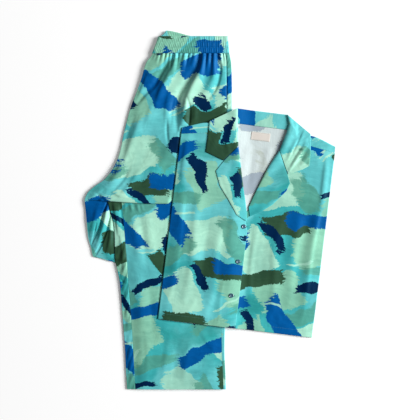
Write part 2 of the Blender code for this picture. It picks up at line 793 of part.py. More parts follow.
def build_shirt(parts):
    across = [0, 0.5] + steps(1, 2, 2) + steps(2, 3, 7)[1:] + steps(3, 4, 3)[1:] + [4.5, 5]
    rows = [0, 0.25, 0.5, 0.75, 0.86, 0.93, 1]
    shell = layered_solid(across, rows, shirt_under, SHIRT_UNDER_TOP)
    add_part("shirt_under_layers", shell, parts, TEAL)
    shell = wall(across, rows, shirt_back)
    add_part("shirt_back", shell, parts, INSIDE)

    front_across = steps(0, 0.24, 7) + steps(0.29, 1, 10) + [1.33, 1.67, 2]
    front_rows = steps(0, 0.51, 6) + steps(0.54, 0.69, 5) + steps(0.75, 1, 4)
    for name, surface, colour in (("right", right_front, AQUA), ("left", left_front, ROYAL)):
        add_part(f"shirt_{name}_front", wall(front_across, front_rows, surface), parts, colour)

    for name, sign in (("right", -1), ("left", 1)):

        def strip(across, along, inside, sign=sign):
            return shoulder(sign, along, across, inside)

        shell = wall([0, 0.2, 0.4, 0.6, 0.8, 0.92, 0.97, 1], [0, 0.5, 1, 1.33, 1.67, 2], strip)
        add_part(f"shirt_back_shoulder_{name}", shell, parts, TEAL)

    shell = wall(steps(0, 1, 14), [0, 0.5, 1, 1.33, 1.67, 2], stand)
    add_part("collar_stand", shell, parts, TEAL)
    rolled = [0, 0.012, 0.04, 0.12, 0.26, 0.4, 0.54, 0.68, 0.82, 0.95, 1]
    flaps = (
        ("lapel_right", LAPEL_RIGHT, WALL, no_drop, SAGE),
        ("lapel_left", LAPEL_LEFT, WALL, no_drop, ROYAL),
        ("collar_right", COLLAR_RIGHT, FALL_WALL, past_shoulder, AQUA),
        ("collar_left", COLLAR_LEFT, FALL_WALL, past_shoulder, SAGE),
    )
    for name, table, thickness, lower, colour in flaps:
        add_part(name, wall(rolled, steps(0, 5, 12), flap(table, thickness, lower)), parts, colour)

    shell = wall(steps(0, 1, 3), [0, 1], label_surface)
    add_part("neck_label", shell, parts, LABEL_WHITE)


# ---------------------------------------------------------------- buttons


def button_profile():
    """Half the button's section, from the middle of its dished face round its rim to its flat back."""
    rim, dish = BUTTON_RADIUS, 0.55 * BUTTON_THICK
    return (
        (0.0, dish),
        (0.62 * rim, dish),
        (0.72 * rim, 0.9 * BUTTON_THICK),
        (0.88 * rim, BUTTON_THICK),
        (rim, 0.6 * BUTTON_THICK),
        (0.9 * rim, 0.0),
        (0.0, 0.0),
    )


def button_seat(row):
    """Where a button lies, tilted to the placket under it."""
    u, v = row
    height = FRONT_TOP + placket_rise(u, v) + LAY_GAP
    left, right, low, high = (
        Vector(shirt_point(u + du, v + dv, height)) * MM
        for du, dv in ((-BUTTON_RADIUS, 0), (BUTTON_RADIUS, 0), (0, -BUTTON_RADIUS), (0, BUTTON_RADIUS))
    )
    middle = (left + right) / 2
    upward = (right - left).cross(high - low).normalized()
    return Matrix.Translation(middle) @ upward.to_track_quat("Z", "Y").to_matrix().to_4x4()


def button_hole(cutters, name, seat):
    hole = bmesh.new()
    bmesh.ops.create_cone(
        hole,
        cap_ends=True,
        segments=6,
        radius1=BUTTON_HOLE_RADIUS * MM,
        radius2=BUTTON_HOLE_RADIUS * MM,
        depth=4 * BUTTON_THICK * MM,
    )
    cutter = add_part(name, hole, cutters, BUTTON_BLUE)
    cutter.matrix_world = seat
    cutter.hide_render = True
    cutter.display_type = "WIRE"
    return cutter


def build_button(parts, cutters, number, row):
    seat = button_seat(row)
    profile = bmesh.new()
    corners = [profile.verts.new((x * MM, 0, z * MM)) for x, z in button_profile()]
    for first, second in zip(corners, corners[1:]):
        profile.edges.new((first, second))
    mesh = bpy.data.meshes.new(f"button_{number}")
    profile.to_mesh(mesh)
    profile.free()
    mesh.materials.append(finish_of(f"button_{number}", BUTTON_BLUE, BUTTON_ROUGHNESS))
    button = bpy.data.objects.new(f"button_{number}", mesh)
    parts.objects.link(button)
    button.matrix_world = seat
    turn = button.modifiers.new("turn", "SCREW")
    turn.steps = BUTTON_STEPS
    turn.render_steps = BUTTON_STEPS
    turn.use_merge_vertices = True
    turn.merge_threshold = 1e-5
    for k in range(4):
        across = BUTTON_HOLE_SPACING * (-1 if k % 2 else 1)
        up = BUTTON_HOLE_SPACING * (-1 if k // 2 else 1)
        spot = seat @ Matrix.Translation(Vector((across, up, 0)) * MM)
        cut = button.modifiers.new(f"hole_{k + 1}", "BOOLEAN")
        cut.object = button_hole(cutters, f"hole_{number}_{k + 1}", spot)


def centre_on_floor(parts):
    """Moves the meshes so that the middle of the set's box is over the origin."""
    clouds = [part.matrix_world @ vert.co for part in parts.objects for vert in part.data.vertices]
    middle_x = (min(p.x for p in clouds) + max(p.x for p in clouds)) / 2
    middle_y = (min(p.y for p in clouds) + max(p.y for p in clouds)) / 2
    shift = Vector((-middle_x, -middle_y, 0))
    for thing in bpy.data.objects:
        thing.location += shift


def main():
    parts, cutters = start_scene()
    build_trousers(parts)
    build_shirt(parts)
    for number, row in enumerate(BUTTONS, 1):
        build_button(parts, cutters, number, row)
    bpy.context.view_layer.update()
    centre_on_floor(parts)


main()
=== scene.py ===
"""Pyjama set laid flat: printed satin trousers folded in half, with their shirt folded over them.

Tables and sizes are in millimetres, and MM turns them into Blender's metres. Right and left are the
wearer's. The trousers are measured down from the waistband's top edge, and the shirt has its own
frame, u across and v up from the middle of its hem. A surface is a function of (s, t), each 0 to 1,
that gives x, y, the height and the place on the flat cloth.
"""

import math
from collections import namedtuple
from functools import partial

import bmesh
import bpy
import numpy as np
from bpy.props import FloatProperty, FloatVectorProperty, PointerProperty
from mathutils import Matrix, Vector


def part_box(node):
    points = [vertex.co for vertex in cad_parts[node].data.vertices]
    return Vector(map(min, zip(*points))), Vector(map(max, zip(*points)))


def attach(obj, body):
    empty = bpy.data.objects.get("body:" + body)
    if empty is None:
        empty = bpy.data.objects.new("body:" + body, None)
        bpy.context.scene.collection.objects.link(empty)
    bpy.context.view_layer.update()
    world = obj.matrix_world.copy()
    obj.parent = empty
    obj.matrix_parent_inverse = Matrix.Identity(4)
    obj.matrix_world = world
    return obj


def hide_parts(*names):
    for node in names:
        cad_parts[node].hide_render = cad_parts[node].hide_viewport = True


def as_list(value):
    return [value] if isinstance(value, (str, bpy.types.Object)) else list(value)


bl_info = {
    "name": "Pyjama Set",
    "version": (1, 0, 0),
    "blender": (4, 5, 0),
    "location": "3D Viewport > Sidebar > Pyjama Set",
    "description": "Folded trousers and a notched-collar shirt in printed satin",
    "category": "Add Mesh",
}

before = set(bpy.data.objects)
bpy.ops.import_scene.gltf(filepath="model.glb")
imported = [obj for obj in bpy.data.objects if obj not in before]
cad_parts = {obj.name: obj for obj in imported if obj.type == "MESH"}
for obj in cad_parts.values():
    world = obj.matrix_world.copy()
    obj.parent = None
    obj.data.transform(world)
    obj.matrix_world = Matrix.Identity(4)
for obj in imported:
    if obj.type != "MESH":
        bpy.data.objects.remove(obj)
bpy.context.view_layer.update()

MM = 0.001
BODY = "root"
RIM_ANGLE = math.radians(55)
WELD = 1e-6
TUBE_TOP = (0.1, 0.5)


def listed(fields, *rows):
    """A table whose rows have named fields."""
    row_type = namedtuple("row", fields)
    return tuple(row_type(*row) for row in rows)


def folds(*rows):
    """Creases, each given as its width, height and lean, and then its path's places."""
    return listed("width height lean path", *((*row[:3], row[3:]) for row in rows))


def flap_edge(*rows):
    """The rows of a lapel or fall."""
    return listed("roll_u roll_v edge_u edge_v roll_radius", *rows)


# ---------------------------------------------------------------- sizes and tables

SEAM_GAP = 0.3
LAY_GAP = 0.4
FLAP_GAP = 0.55

WAIST_TOP = 486.6
UNDER_LEG_TOP = 4.7
LEG_FLOOR = 5.0
LEG_RADIUS = 2.0
LEG_PUFF = 1.6
SEAT_START = 49.7
TUCK = 459.6
TUCK_LEFT = -314.0
TUCK_RIGHT = -119.0
TUCK_OVERHANG = (1.8, 9.6)
TUCK_SLANT = 150.0
TUCK_RISE = 5.2
TUCK_FADE = 14.0
# The tuck's lip starts LIP_ROOM above it, at LIP_SHARE of the seat's rows
LIP_SHARE = 0.92
LIP_ROOM = 7.0
LIP_CURL = (5.0, 2.4)
SEAT_PUFF = 3.0
SEAM_DIP = 1.4
SEAM_DIP_WIDTH = 3.2
LEG_START = 460.0
HEM = 987.5
UNDER_INSET = 1.2
UNDER_WAIST = 2.0
UNDER_HEM = HEM - 3.0
UNDER_RIM = 1.0
SEAT_WRAP = 0.44
SEAT_BACK_END = 3.44
PRESS_MARGIN = 9.0
PRESS_FADE = 12.0
CROTCH_START = 459.65
CROTCH_END = 617.0
CROTCH_SLOPE = 14.0
CROTCH_RIM = 0.9
CROTCH_TOP = 1.6
CROTCH_PUFF = 1.5
TROUSER_HEM_DEPTH = 24.0
HEM_CURL = (1.0, 0.6)

BAND_LEFT = (-143.5, -162.5)
BAND_SOLID_LEFT = -156.0
BAND_RIGHT = (49.5, 53.5)
BAND_BACK_INSET = 2.0
BAND_START = 0.8
BAND_END = 49.4
BAND_BACK_TOP = 7.6
BAND_FRONT_FLOOR = 8.0
BAND_FRONT_TOP = 10.6
BAND_RIBS = 41
BAND_RIB_HEIGHT = 1.1
BAND_CHANNELS = 3
BAND_PUFF = 0.9
# Where across and down its grid a waistband's edges turn under
BAND_S_STOPS = (0, 0.01, 0.99, 1)
BAND_T_STOPS = (0, 0.03, 0.97, 1)
BAND_EASE = 1.3

SHIRT_TILT = math.radians(7.1)
SHIRT_HEM = (69.4, -330.1)
SHIRT_LIFT = 9.4
DROP_START = 2.0
DROP_WIDTH = 58.0
SIDE = 217.0
SHIRT_UNDER_TOP = 3.6
UNDER_SIDE = SIDE - 4.2
CORNER_SIDE = SIDE - 9.2
UNDER_TOP_INSET = 6.0
UNDER_HEM_V = 2.0
BACK_TOP_INSET = 5.5
BACK_HEM_V = -0.5
BACK_TOP = 5.0
UNDER_ROWS = (3, 590)
BACK_ROWS = (3, 560)
FRONT_TOP = 6.6
PLACKET_RISE = 1.7
SIDE_FALL = 2.2
SIDE_FALL_WIDTH = 26.0
FRONT_RADIUS = (FRONT_TOP - SIDE_FALL) / 2
FRONT_LENGTH = 540.0
# Rows up a front: places in its grid, and their shares of its length
FRONT_STOPS = (0, 0.015, 1)
FRONT_SHARES = (0, 0.003, 1)
EDGE_CURL = (1.2, 0.6)
FLAP_FALL = 1.4
NECK_CORNER = 142.0
NECK_MIDDLE = 6.0
NECK_HALF = 70.0
STAND_TOP = 6.2
STAND_SEAM = 568.0
# The left lapel's lower edge lifts most beside this row of its table
LAPEL_LIFT = 3.0
LAPEL_LIFT_ROW = 1.2
LAPEL_LIFT_ROWS = 0.9
LAPEL_LIFT_WIDTH = 13.0
ROLL_SHARE = 0.14
LAPEL_WALL = 1.2
FALL_WALL = 2.0
ROLL_FADE = 17.0
ROLL_SPREAD = 2.6
SHIRT_HEM_DEPTH = 17.0
BUTTON_RADIUS = 6.2
BUTTON_THICK = 2.2
BUTTON_HOLE_RADIUS = 0.8
BUTTON_HOLE_SPACING = 1.6
BUTTONHOLE_END = 9.8
BUTTONHOLE_PITCH = 0.55
BUTTONHOLE_SLOT = 0.35
BUTTONHOLE_WIDTH = 1.5
LABEL_SIZE = (53.0, 23.0)
LABEL_CENTRE = (5.0, 540.0)
LABEL_THICK = 0.8
BUTTON_THREAD = 0.3
SEAM_THREAD = 0.22
BUTTONHOLE_THREAD = 0.26

FLOOR_REACH = 60.0
KEY_PLACE = (9.5, 1.4, 5.4)
KEY_SIZE = 6.0

# Down the trousers: x of the left edge, the leg's fold, the inseam, the side seam and the right fold
TROUSERS = listed(
    "down left fold inseam side right",
    (0, -147, -147, -147, 38, 48), (25, -154, -154, -154, 40, 51), (50, -161, -161, -161, 42.5, 54),
    (75, -179, -179, -179, 45.5, 58.5), (120, -192.5, -192.5, -192.5, 46, 60.5),
    (152, -204, -204, -204, 46, 61), (197, -221.5, -221.5, -221.5, 46, 61),
    (273, -242, -242, -242, 45.5, 61), (318, -251, -251, -251, 45, 61), (346, -260, -260, -260, 44.5, 60.5),
    (376, -275.5, -275.5, -275.5, 44, 60), (403, -298, -298, -298, 43.5, 59),
    (421, -324, -324, -324, 43, 58.5), (440, -344, -344, -344, 42.5, 58),
    (459.8, -351, -351, -351, 42, 57.5), (460, -351, -288.5, -248, 42, 57.5),
    (485, -348.5, -281, -245, 41, 56.5), (521, -345, -270.5, -241.5, 40, 55.5),
    (562, -341, -267.5, -238, 39, 54), (592, -333, -267, -235.5, 38, 53), (617, -327, -266.5, -233, 37, 52),
    (632, -266, -265, -232, 36.5, 51), (654, -261, -260, -231, 35.5, 50),
    (690, -253.5, -253, -228.5, 34.5, 48), (751, -248.5, -248, -223.5, 33, 45),
    (809, -244, -243.5, -219, 31.5, 41.5), (876, -239, -238.5, -215, 32.5, 40),
    (941, -236, -235.5, -211.5, 35.5, 42.5), (988, -233, -232.5, -209, 37.5, 44),
)

# How much thinner the folded leg is at its left edge than away from it
THINNING = listed(
    "down share",
    (0, 0.0), (100, 0.0), (179, 0.3), (263, 0.42), (330, 0.25), (400, 0.05), (440, 0.3), (475, 0.3),
    (515, 0.1), (560, 0.3), (600, 0.38), (690, 0.4), (760, 0.5), (988, 0.5),
)
THIN_WIDTH = 55.0

# How far the waistband's back shows above its front
BAND_PEEK = listed(
    "x rise",
    (-142, -2), (-130, 6.4), (-121.8, 15.6), (-95, 11.2), (-61, 2), (-40, -2), (60, -2.5),
)

# A crease follows a smooth path through a few places. It is a ridge, or a trough if its height is
# negative, and its lean makes one of its sides steeper than the other.
SEAT_CREASES = folds(
    (
        9.0, -5.8, -0.2,
        (-30, 56), (-40, 90), (-54, 115), (-71, 140), (-86, 164), (-93, 190), (-95, 222), (-93, 262),
    ),
    (12.0, 7.0, 0.3, (-14, 62), (-24, 92), (-38, 120), (-52, 148), (-64, 180), (-72, 216), (-78, 262)),
    (7.5, -5.0, -0.2, (-104, 58), (-122, 80), (-139, 108), (-153, 134), (-172, 160)),
    (10.0, 5.0, 0.3, (-92, 62), (-106, 92), (-122, 124), (-140, 160), (-150, 190)),
    (5.5, -3.6, -0.2, (25, 58), (28, 92), (24, 122), (15, 148), (-2, 174)),
    (10.0, 3.4, 0.0, (9, 70), (10, 106), (0, 136), (-16, 162)),
    (4.5, -3.4, -0.2, (-63, 176), (-57, 206), (-58, 236), (-62, 262)),
    (8.0, 2.2, 0.2, (-46, 178), (-42, 210), (-44, 240)),
    (8.0, 1.8, 0.3, (-110, 150), (-120, 190), (-124, 236)),
    (5.5, -1.6, -0.2, (-100, 168), (-107, 205), (-109, 244)),
    (4.0, -2.2, 0.0, (-121, 236), (-121, 264), (-118, 300)),
    (7.0, -3.8, -0.3, (-164, 142), (-184, 164), (-206, 192)),
    (8.0, 2.4, 0.2, (-174, 108), (-189, 140), (-202, 174)),
    (13.0, 2.2, 0.3, (-150, 172), (-164, 212), (-180, 256)),
    (11.0, 4.0, 0.3, (-194, 228), (-210, 270), (-224, 308), (-236, 344)),
    (6.0, -1.6, -0.2, (-212, 226), (-229, 268), (-241, 304)),
    (15.0, -1.5, 0.0, (-160, 266), (-176, 320), (-204, 366)),
    (16.0, 2.4, 0.2, (-108, 296), (-132, 350), (-176, 400)),
    (11.0, 3.2, 0.3, (-244, 350), (-260, 388), (-288, 422)),
    (7.0, -2.2, -0.3, (-226, 372), (-246, 404), (-280, 440)),
    (9.0, 2.2, 0.2, (-198, 378), (-220, 414), (-250, 446)),
    (5.5, 2.2, 0.3, (-272, 436), (-250, 447), (-222, 451)),
    (4.5, -3.0, 0.0, (-319, 439), (-305, 452), (-290, 464)),
    (7.0, 2.4, -0.3, (-296, 424), (-318, 440), (-338, 458)),
    (6.0, 1.4, 0.3, (-206, 452), (-160, 446), (-116, 441)),
)

# The gathers under the waistband. Each is a ridge, or a groove if its height is negative, that fans from
# `top` at the band to `foot`, where it dies out `length` below the band.
GATHERS = listed(
    "top foot length width height",
    (-153, -160, 24, 4.0, 1.3), (-143, -152, 44, 4.5, 1.9), (-137, -147, 34, 1.8, -0.8),
    (-131, -143, 58, 5.0, 2.3), (-125, -134, 40, 1.8, -0.9), (-119, -129, 46, 4.0, 2.4),
    (-114, -124, 36, 1.6, -0.8), (-109.5, -119, 52, 3.6, 2.3), (-103.5, -114, 60, 1.9, -1.3),
    (-96, -108, 76, 5.0, 3.2), (-88, -97, 62, 2.4, -1.6), (-82, -88, 26, 3.5, 1.6),
    (-70, -84, 74, 5.5, 3.2), (-60, -72, 56, 2.2, -1.3), (-54, -62, 30, 3.6, 1.8), (-42, -54, 58, 6.5, 3.0),
    (-30, -38, 44, 2.6, -1.8), (-19, -31, 92, 5.5, 3.0), (-9.5, -17, 70, 2.2, -1.5), (-3, -9, 80, 4.6, 2.6),
    (4, 2, 58, 2.0, -1.1), (11, 8, 98, 5.5, 2.8), (21, 20, 70, 2.6, -1.6), (29, 29, 52, 4.5, 2.4),
    (36, 37, 40, 2.0, -1.2), (40, 41, 22, 3.0, 1.2),
)

LEG_CREASES = folds(
    (3.6, 1.9, 0.0, (-222, 466), (-221, 475), (-218, 490)),
    (2.2, -0.9, 0.0, (-213, 466), (-212, 475), (-211, 486)),
    (3.6, 1.7, 0.0, (-203, 468), (-202, 477), (-199, 492)),
    (3.0, 1.1, 0.0, (-192, 470), (-190, 479), (-186, 490)),
    (3.4, 1.4, 0.0, (-236, 466), (-238, 480), (-240, 500)),
    (11.0, 1.5, 0.2, (-216, 500), (-206, 566), (-196, 640)),
    (12.0, 1.3, 0.0, (-176, 492), (-168, 548), (-160, 612)),
    (8.0, -1.0, 0.0, (-196, 500), (-186, 570), (-178, 640)),
    (12.0, 1.3, 0.0, (-200, 660), (-192, 740), (-184, 830)),
    (9.0, -0.9, 0.2, (-172, 690), (-164, 760), (-160, 840)),
    (11.0, 1.5, 0.2, (-112, 838), (-122, 900), (-134, 968)),
    (9.0, -1.0, 0.2, (-88, 850), (-98, 912), (-104, 972)),
    (11.0, 1.3, 0.0, (-62, 862), (-66, 910), (-74, 968)),
    (9.0, 1.1, 0.3, (-180, 826), (-174, 890), (-178, 962)),
    (5.0, -2.6, 0.2, (-64, 926), (-26, 924), (8, 918), (40, 912)),
    (6.5, 2.0, -0.2, (-50, 938), (-20, 936), (10, 930), (40, 924)),
    (9.0, 0.9, 0.2, (-30, 906), (2, 900), (36, 896)), (9.0, 1.0, 0.3, (-28, 820), (-6, 856), (22, 886)),
)
STRIP_CREASES = folds(
    (9.5, 3.6, 0.3, (-268, 462), (-262, 500), (-255, 552)),
    (4.5, -1.4, 0.0, (-252, 470), (-248, 500), (-245, 540)),
    (7.0, 2.2, 0.3, (-250, 560), (-243, 610), (-240, 668)),
    (6.0, 1.6, 0.2, (-238, 700), (-232, 760), (-229, 830)),
    (6.0, 1.3, -0.2, (-228, 842), (-224, 900), (-221, 962)),
    (3.6, -3.4, 0.0, (-254, 678), (-248, 686), (-239, 690)),
)
CROTCH_CREASES = folds(
    (6.5, 5.2, 0.0, (-284, 466), (-291, 500), (-299, 535), (-308, 560), (-318, 586)),
    (2.6, -6.5, 0.0, (-284, 456), (-299, 498), (-310, 535), (-320, 556), (-331, 580)),
    (2.4, -6.0, 0.0, (-278, 494), (-285, 528), (-292, 551), (-301, 574), (-312, 596)),
    (2.8, -5.0, 0.0, (-298, 568), (-311, 595), (-320, 609), (-329, 624), (-338, 640)),
    (6.5, 3.0, 0.2, (-275, 508), (-277, 540), (-280, 570), (-288, 604)),
    (9.0, 3.0, 0.2, (-314, 476), (-322, 514), (-333, 556)),
    (2.2, -2.4, 0.0, (-318, 524), (-324, 552), (-331, 580)),
)
SHIRT_CREASES = folds(
    (10.0, 3.0, 0.3, (199, 472), (190, 330), (184, 216), (184, 60)),
    (12.0, -1.0, 0.0, (180, 460), (166, 330), (158, 216), (156, 100)),
    (16.0, 2.8, 0.2, (136, 440), (138, 340), (134, 220), (140, 90)),
    (14.0, 2.4, -0.2, (96, 330), (84, 230), (96, 120), (92, 30)),
    (11.0, -0.8, 0.0, (64, 300), (52, 200), (60, 90)), (9.0, 1.2, 0.2, (28, 300), (22, 200), (30, 80)),
    (8.0, 0.7, 0.3, (110, 60), (124, 34), (150, 22)),
    (14.0, 2.6, 0.2, (-66, 300), (-80, 220), (-76, 110), (-88, 30)),
    (10.0, -1.0, 0.0, (-104, 320), (-112, 210), (-106, 90)),
    (15.0, 2.6, -0.2, (-142, 420), (-146, 300), (-140, 180), (-150, 60)),
    (9.0, 1.5, 0.3, (-190, 470), (-188, 340), (-184, 200), (-190, 70)),
    (7.0, 0.7, 0.3, (-48, 140), (-52, 70), (-46, 22)), (8.0, 0.7, 0.2, (-120, 70), (-132, 36), (-160, 20)),
)
UPPER_CREASES = folds(
    (9.0, 2.4, 0.3, (199, 366), (197, 420), (196, 500)),
    (9.0, 1.2, 0.3, (-196, 380), (-199, 440), (-198, 500)),
)
RIGHT_FALL_CREASES = folds(
    (10.0, 1.2, 0.0, (-128, 486), (-118, 520), (-106, 552)),
    (9.0, 1.1, 0.3, (-86, 486), (-84, 526), (-78, 566)),
    (6.0, 0.8, 0.0, (-76, 478), (-82, 500), (-94, 520)),
)
LEFT_FALL_CREASES = folds(
    (5.0, 3.2, 0.4, (138, 534), (116, 496), (96, 456)), (3.4, -1.2, 0.0, (126, 534), (108, 500), (95, 468)),
    (5.0, 2.8, 0.4, (110, 550), (97, 518), (88, 486)), (5.5, 2.2, -0.4, (124, 570), (114, 538), (104, 508)),
    (7.0, 2.0, 0.3, (98, 596), (99, 570), (103, 546)), (5.5, 1.8, 0.0, (146, 506), (136, 488), (124, 470)),
    (3.4, -1.0, 0.0, (140, 520), (126, 494), (114, 474)),
    (7.0, 1.4, 0.2, (134, 556), (128, 530), (120, 510)),
)
LAPEL_CREASES = folds(
    (9.0, 0.6, 0.2, (-60, 366), (-72, 396), (-86, 422)),
    (7.0, 0.5, 0.0, (-38, 350), (-50, 378), (-62, 404)), (9.0, 0.6, 0.2, (50, 378), (66, 404), (80, 432)),
    (7.0, 0.5, 0.0, (28, 352), (44, 374), (60, 398)),
)
BACK_CREASES = folds(
    (10.0, 1.1, 0.0, (-28, 420), (-26, 480), (-20, 540)), (9.0, 1.1, 0.2, (22, 430), (30, 490), (34, 545)),
    (8.0, 0.7, 0.2, (-6, 360), (-2, 430), (4, 500)),
)

# Slow swells that keep a panel from lying dead flat, with their wavelengths along x and y
SWELLS = listed(
    "x_length y_length height phase",
    (61, 143, 0.16, 0.3), (-97, 71, 0.13, 1.9), (37, -211, 0.10, 4.1), (23, 47, 0.05, 2.6),
    (-31, 29, 0.04, 5.2),
)

# Out from the shirt's middle: v of its top, of the shoulder's fold and of the seam before it
SHIRT_TOP = listed(
    "u top shoulder seam",
    (0, 610, 560, 545), (68.5, 610, 560, 544.5), (142, 561, 560, 532), (216, 538, 538, 520),
)

# Up the shirt: u of each front's edge, up the placket and on under its lapel
OPENING = listed(
    "v right_front left_front",
    (0, 1, -30), (270, 0, -30), (298, -6.5, -24), (334, -12.6, -4), (374, -24, 10), (408, -33, 22.5),
    (442, -42, 34.5), (470, -49, 46.5), (508, -58, 65.5), (550, -65.5, 77),
)

# Lapels and falls from below up, each row from its roll out to its edge
LAPEL_RIGHT = flap_edge(
    (-4.5, 301, -12, 303, 0.8), (-8.6, 330, -35, 315, 0.9), (-15, 356, -61, 351, 1.0),
    (-25, 392, -91, 389, 1.2), (-40, 452, -108, 429, 1.5), (-53, 505, -89, 459, 1.8),
)
LAPEL_LEFT = flap_edge(
    (-4, 341, 3, 315, 0.8), (6, 374, 33, 333, 1.1), (18, 408, 61, 355, 1.4), (30, 442, 95, 398, 2.0),
    (42, 470, 102, 421, 2.4), (61, 508, 93, 443, 2.7),
)
COLLAR_RIGHT = flap_edge(
    (-53.6, 507, -90, 460.6, 1.9), (-55.5, 520, -116, 469.5, 2.0), (-58, 534, -142, 478, 2.1),
    (-62, 560, -142, 510, 2.2), (-65, 585, -142, 538, 2.1), (-68, 611, -142, 564, 1.8),
)
COLLAR_LEFT = flap_edge(
    (61.8, 510, 94, 445, 2.8), (65, 523, 132, 463, 3.3), (69, 538, 150, 476, 3.8), (75, 562, 150, 507, 4.2),
    (78, 585, 146, 537, 3.8), (69.5, 611, 142, 564, 2.4),
)

# Up the collar's stand: u of its ends
STAND = listed(
    "v right left",
    (560, -62, 77), (585, -65, 80), (598, -66.5, 77), (611, -68.5, 73),
)

BUTTONS = listed("u v", (-11, 285), (-15, 186), (-22, 90))

# Each piece's cut: what of it shows, laid flat, and where on the printed cloth it is taken from
Cut = namedtuple("Cut", "width length area shift_u shift_v turn")
CUTS = {
    "seat_front": Cut(0.36, 0.43, 0.124, 0.0, 0.0, 0),
    "seat_back": Cut(0.36, 0.41, 0.131, 0.9, 0.0, 0),
    "leg_front": Cut(0.30, 0.53, 0.139, 0.1, -1.3, 0),
    "leg_back": Cut(0.37, 0.53, 0.181, 1.1, 0.6, 0),
    "crotch_extension": Cut(0.08, 0.18, 0.0126, 0.0, 0.0, 0),
    "hidden_leg": Cut(0.80, 0.99, 0.607, 3.1, 0.0, 0),
    "band_front": Cut(0.22, 0.055, 0.0118, 0.4, 2.2, 0),
    "band_back": Cut(0.21, 0.06, 0.0109, 1.7, 2.9, 0),
    "right_front": Cut(0.24, 0.55, 0.111, 4.2, 1.1, 0),
    "left_front": Cut(0.26, 0.55, 0.122, 5.3, 0.4, 0),
    "back_panel": Cut(0.43, 0.56, 0.237, 6.1, 1.7, 0),
    "back_shoulder_right": Cut(0.08, 0.04, 0.0024, 7.2, 0.3, 0),
    "back_shoulder_left": Cut(0.08, 0.04, 0.0024, 7.9, 0.9, 0),
    "hidden_sides": Cut(0.87, 0.60, 0.491, 8.4, 0.0, 0),
    "neck_stand": Cut(0.15, 0.055, 0.0070, 2.715, 3.3, 90),
    "right_fall": Cut(0.10, 0.14, 0.0102, 3.8, 3.9, 35),
    "left_fall": Cut(0.10, 0.16, 0.0109, 4.6, 4.385, -35),
    "right_lapel": Cut(0.08, 0.21, 0.0104, 5.5, 3.1, 12),
    "left_lapel": Cut(0.08, 0.21, 0.0109, 6.7, 3.6, -14),
    "blank_label": Cut(0.054, 0.0235, 0.00126, 0.0, 0.0, 0),
}


# ---------------------------------------------------------------- what a user would change


def size_property(name, description, default, low, high, **kind):
    return FloatProperty(name=name, description=description, default=default, min=low, max=high, **kind)


def colour_property(name, description, default):
    return FloatVectorProperty(
        name=name, description=description, default=default, size=3, min=0.0, max=1.0, subtype="COLOR"
    )


class PyjamaSizes(bpy.types.PropertyGroup):
    cloth_thickness: size_property(
        "Cloth Thickness", "Thickness of the satin, pressed seam allowances included",
        0.0007, 0.0002, 0.0011, precision=5, unit="LENGTH",
    )
    gather_height: size_property(
        "Gather Height", "How far the gathers under the waistband stand up, 1 as listed",
        1.0, 0.0, 1.4, subtype="FACTOR",
    )
    crease_depth: size_property(
        "Crease Depth", "How deep the panels' creases are, 1 as listed", 1.0, 0.0, 1.5, subtype="FACTOR"
    )
    stitch_length: size_property(
        "Stitch Length", "Distance from one stitch to the next",
        0.0032, 0.002, 0.006, precision=4, unit="LENGTH",
    )


class PyjamaColours(bpy.types.PropertyGroup):
    wash: colour_property("Wash", "Pale aqua of the painted ground", (0.15, 0.60, 0.62))
    ground: colour_property("Ground", "Deeper aqua of the painted ground", (0.05, 0.44, 0.45))
    teal: colour_property("Teal", "Teal strokes", (0.02, 0.28, 0.26))
    mint: colour_property("Mint", "Mint patches", (0.25, 0.58, 0.42))
    pale: colour_property("Pale Mint", "Palest mint patches and scribbles", (0.38, 0.73, 0.57))
    sage: colour_property("Sage", "Thin grey-green strokes", (0.09, 0.34, 0.25))
    moss: colour_property("Moss", "Dark green patches", (0.030, 0.080, 0.040))
    royal: colour_property("Royal", "Royal blue strokes", (0.0, 0.095, 0.34))
    navy: colour_property("Navy", "Navy strokes", (0.0, 0.014, 0.065))
    wrong_side: colour_property("Wrong Side", "Unprinted side of the cloth", (0.66, 0.75, 0.75))
    lilac: colour_property("Lilac", "Dark strokes seen through the wrong side", (0.37, 0.44, 0.51))
    beige: colour_property("Beige", "Green patches seen through the wrong side", (0.48, 0.53, 0.45))
    label: colour_property("Label", "Woven label", (0.78, 0.72, 0.66))
    button: colour_property("Button", "Buttons", (0.02, 0.055, 0.10))
    thread: colour_property("Thread", "Sewing thread", (0.10, 0.34, 0.33))


class PyjamaStage(bpy.types.PropertyGroup):
    camera_height: size_property(
        "Camera Height", "Height of the camera above the surface", 3.0, 1.0, 9.0, unit="LENGTH"
    )
    view_width: size_property(
        "View Width", "Width of the surface that the camera sees", 1.176, 0.5, 3.0, unit="LENGTH"
    )
    key_power: size_property(
        "Key Light", "Power of the large, low light on the right", 2150.0, 0.0, 9000.0, unit="POWER"
    )
    sky_strength: size_property(
        "Sky Strength", "Strength of the even light from all round", 0.15, 0.0, 2.0, subtype="FACTOR"
    )
    floor_glow: size_property("Floor Glow", "Light that the floor adds", 0.18, 0.0, 1.0, subtype="FACTOR")


# ---------------------------------------------------------------- curves and relief


def blend(start, end, share):
    return start + (end - start) * share


def smooth(share):
    """An S-curve from 0 to 1."""
    share = np.clip(share, 0.0, 1.0)
    return share * share * (3.0 - 2.0 * share)


def bell(distance, width):
    """1 at a line, falling away on both its sides."""
    return np.exp(-((distance / width) ** 2))


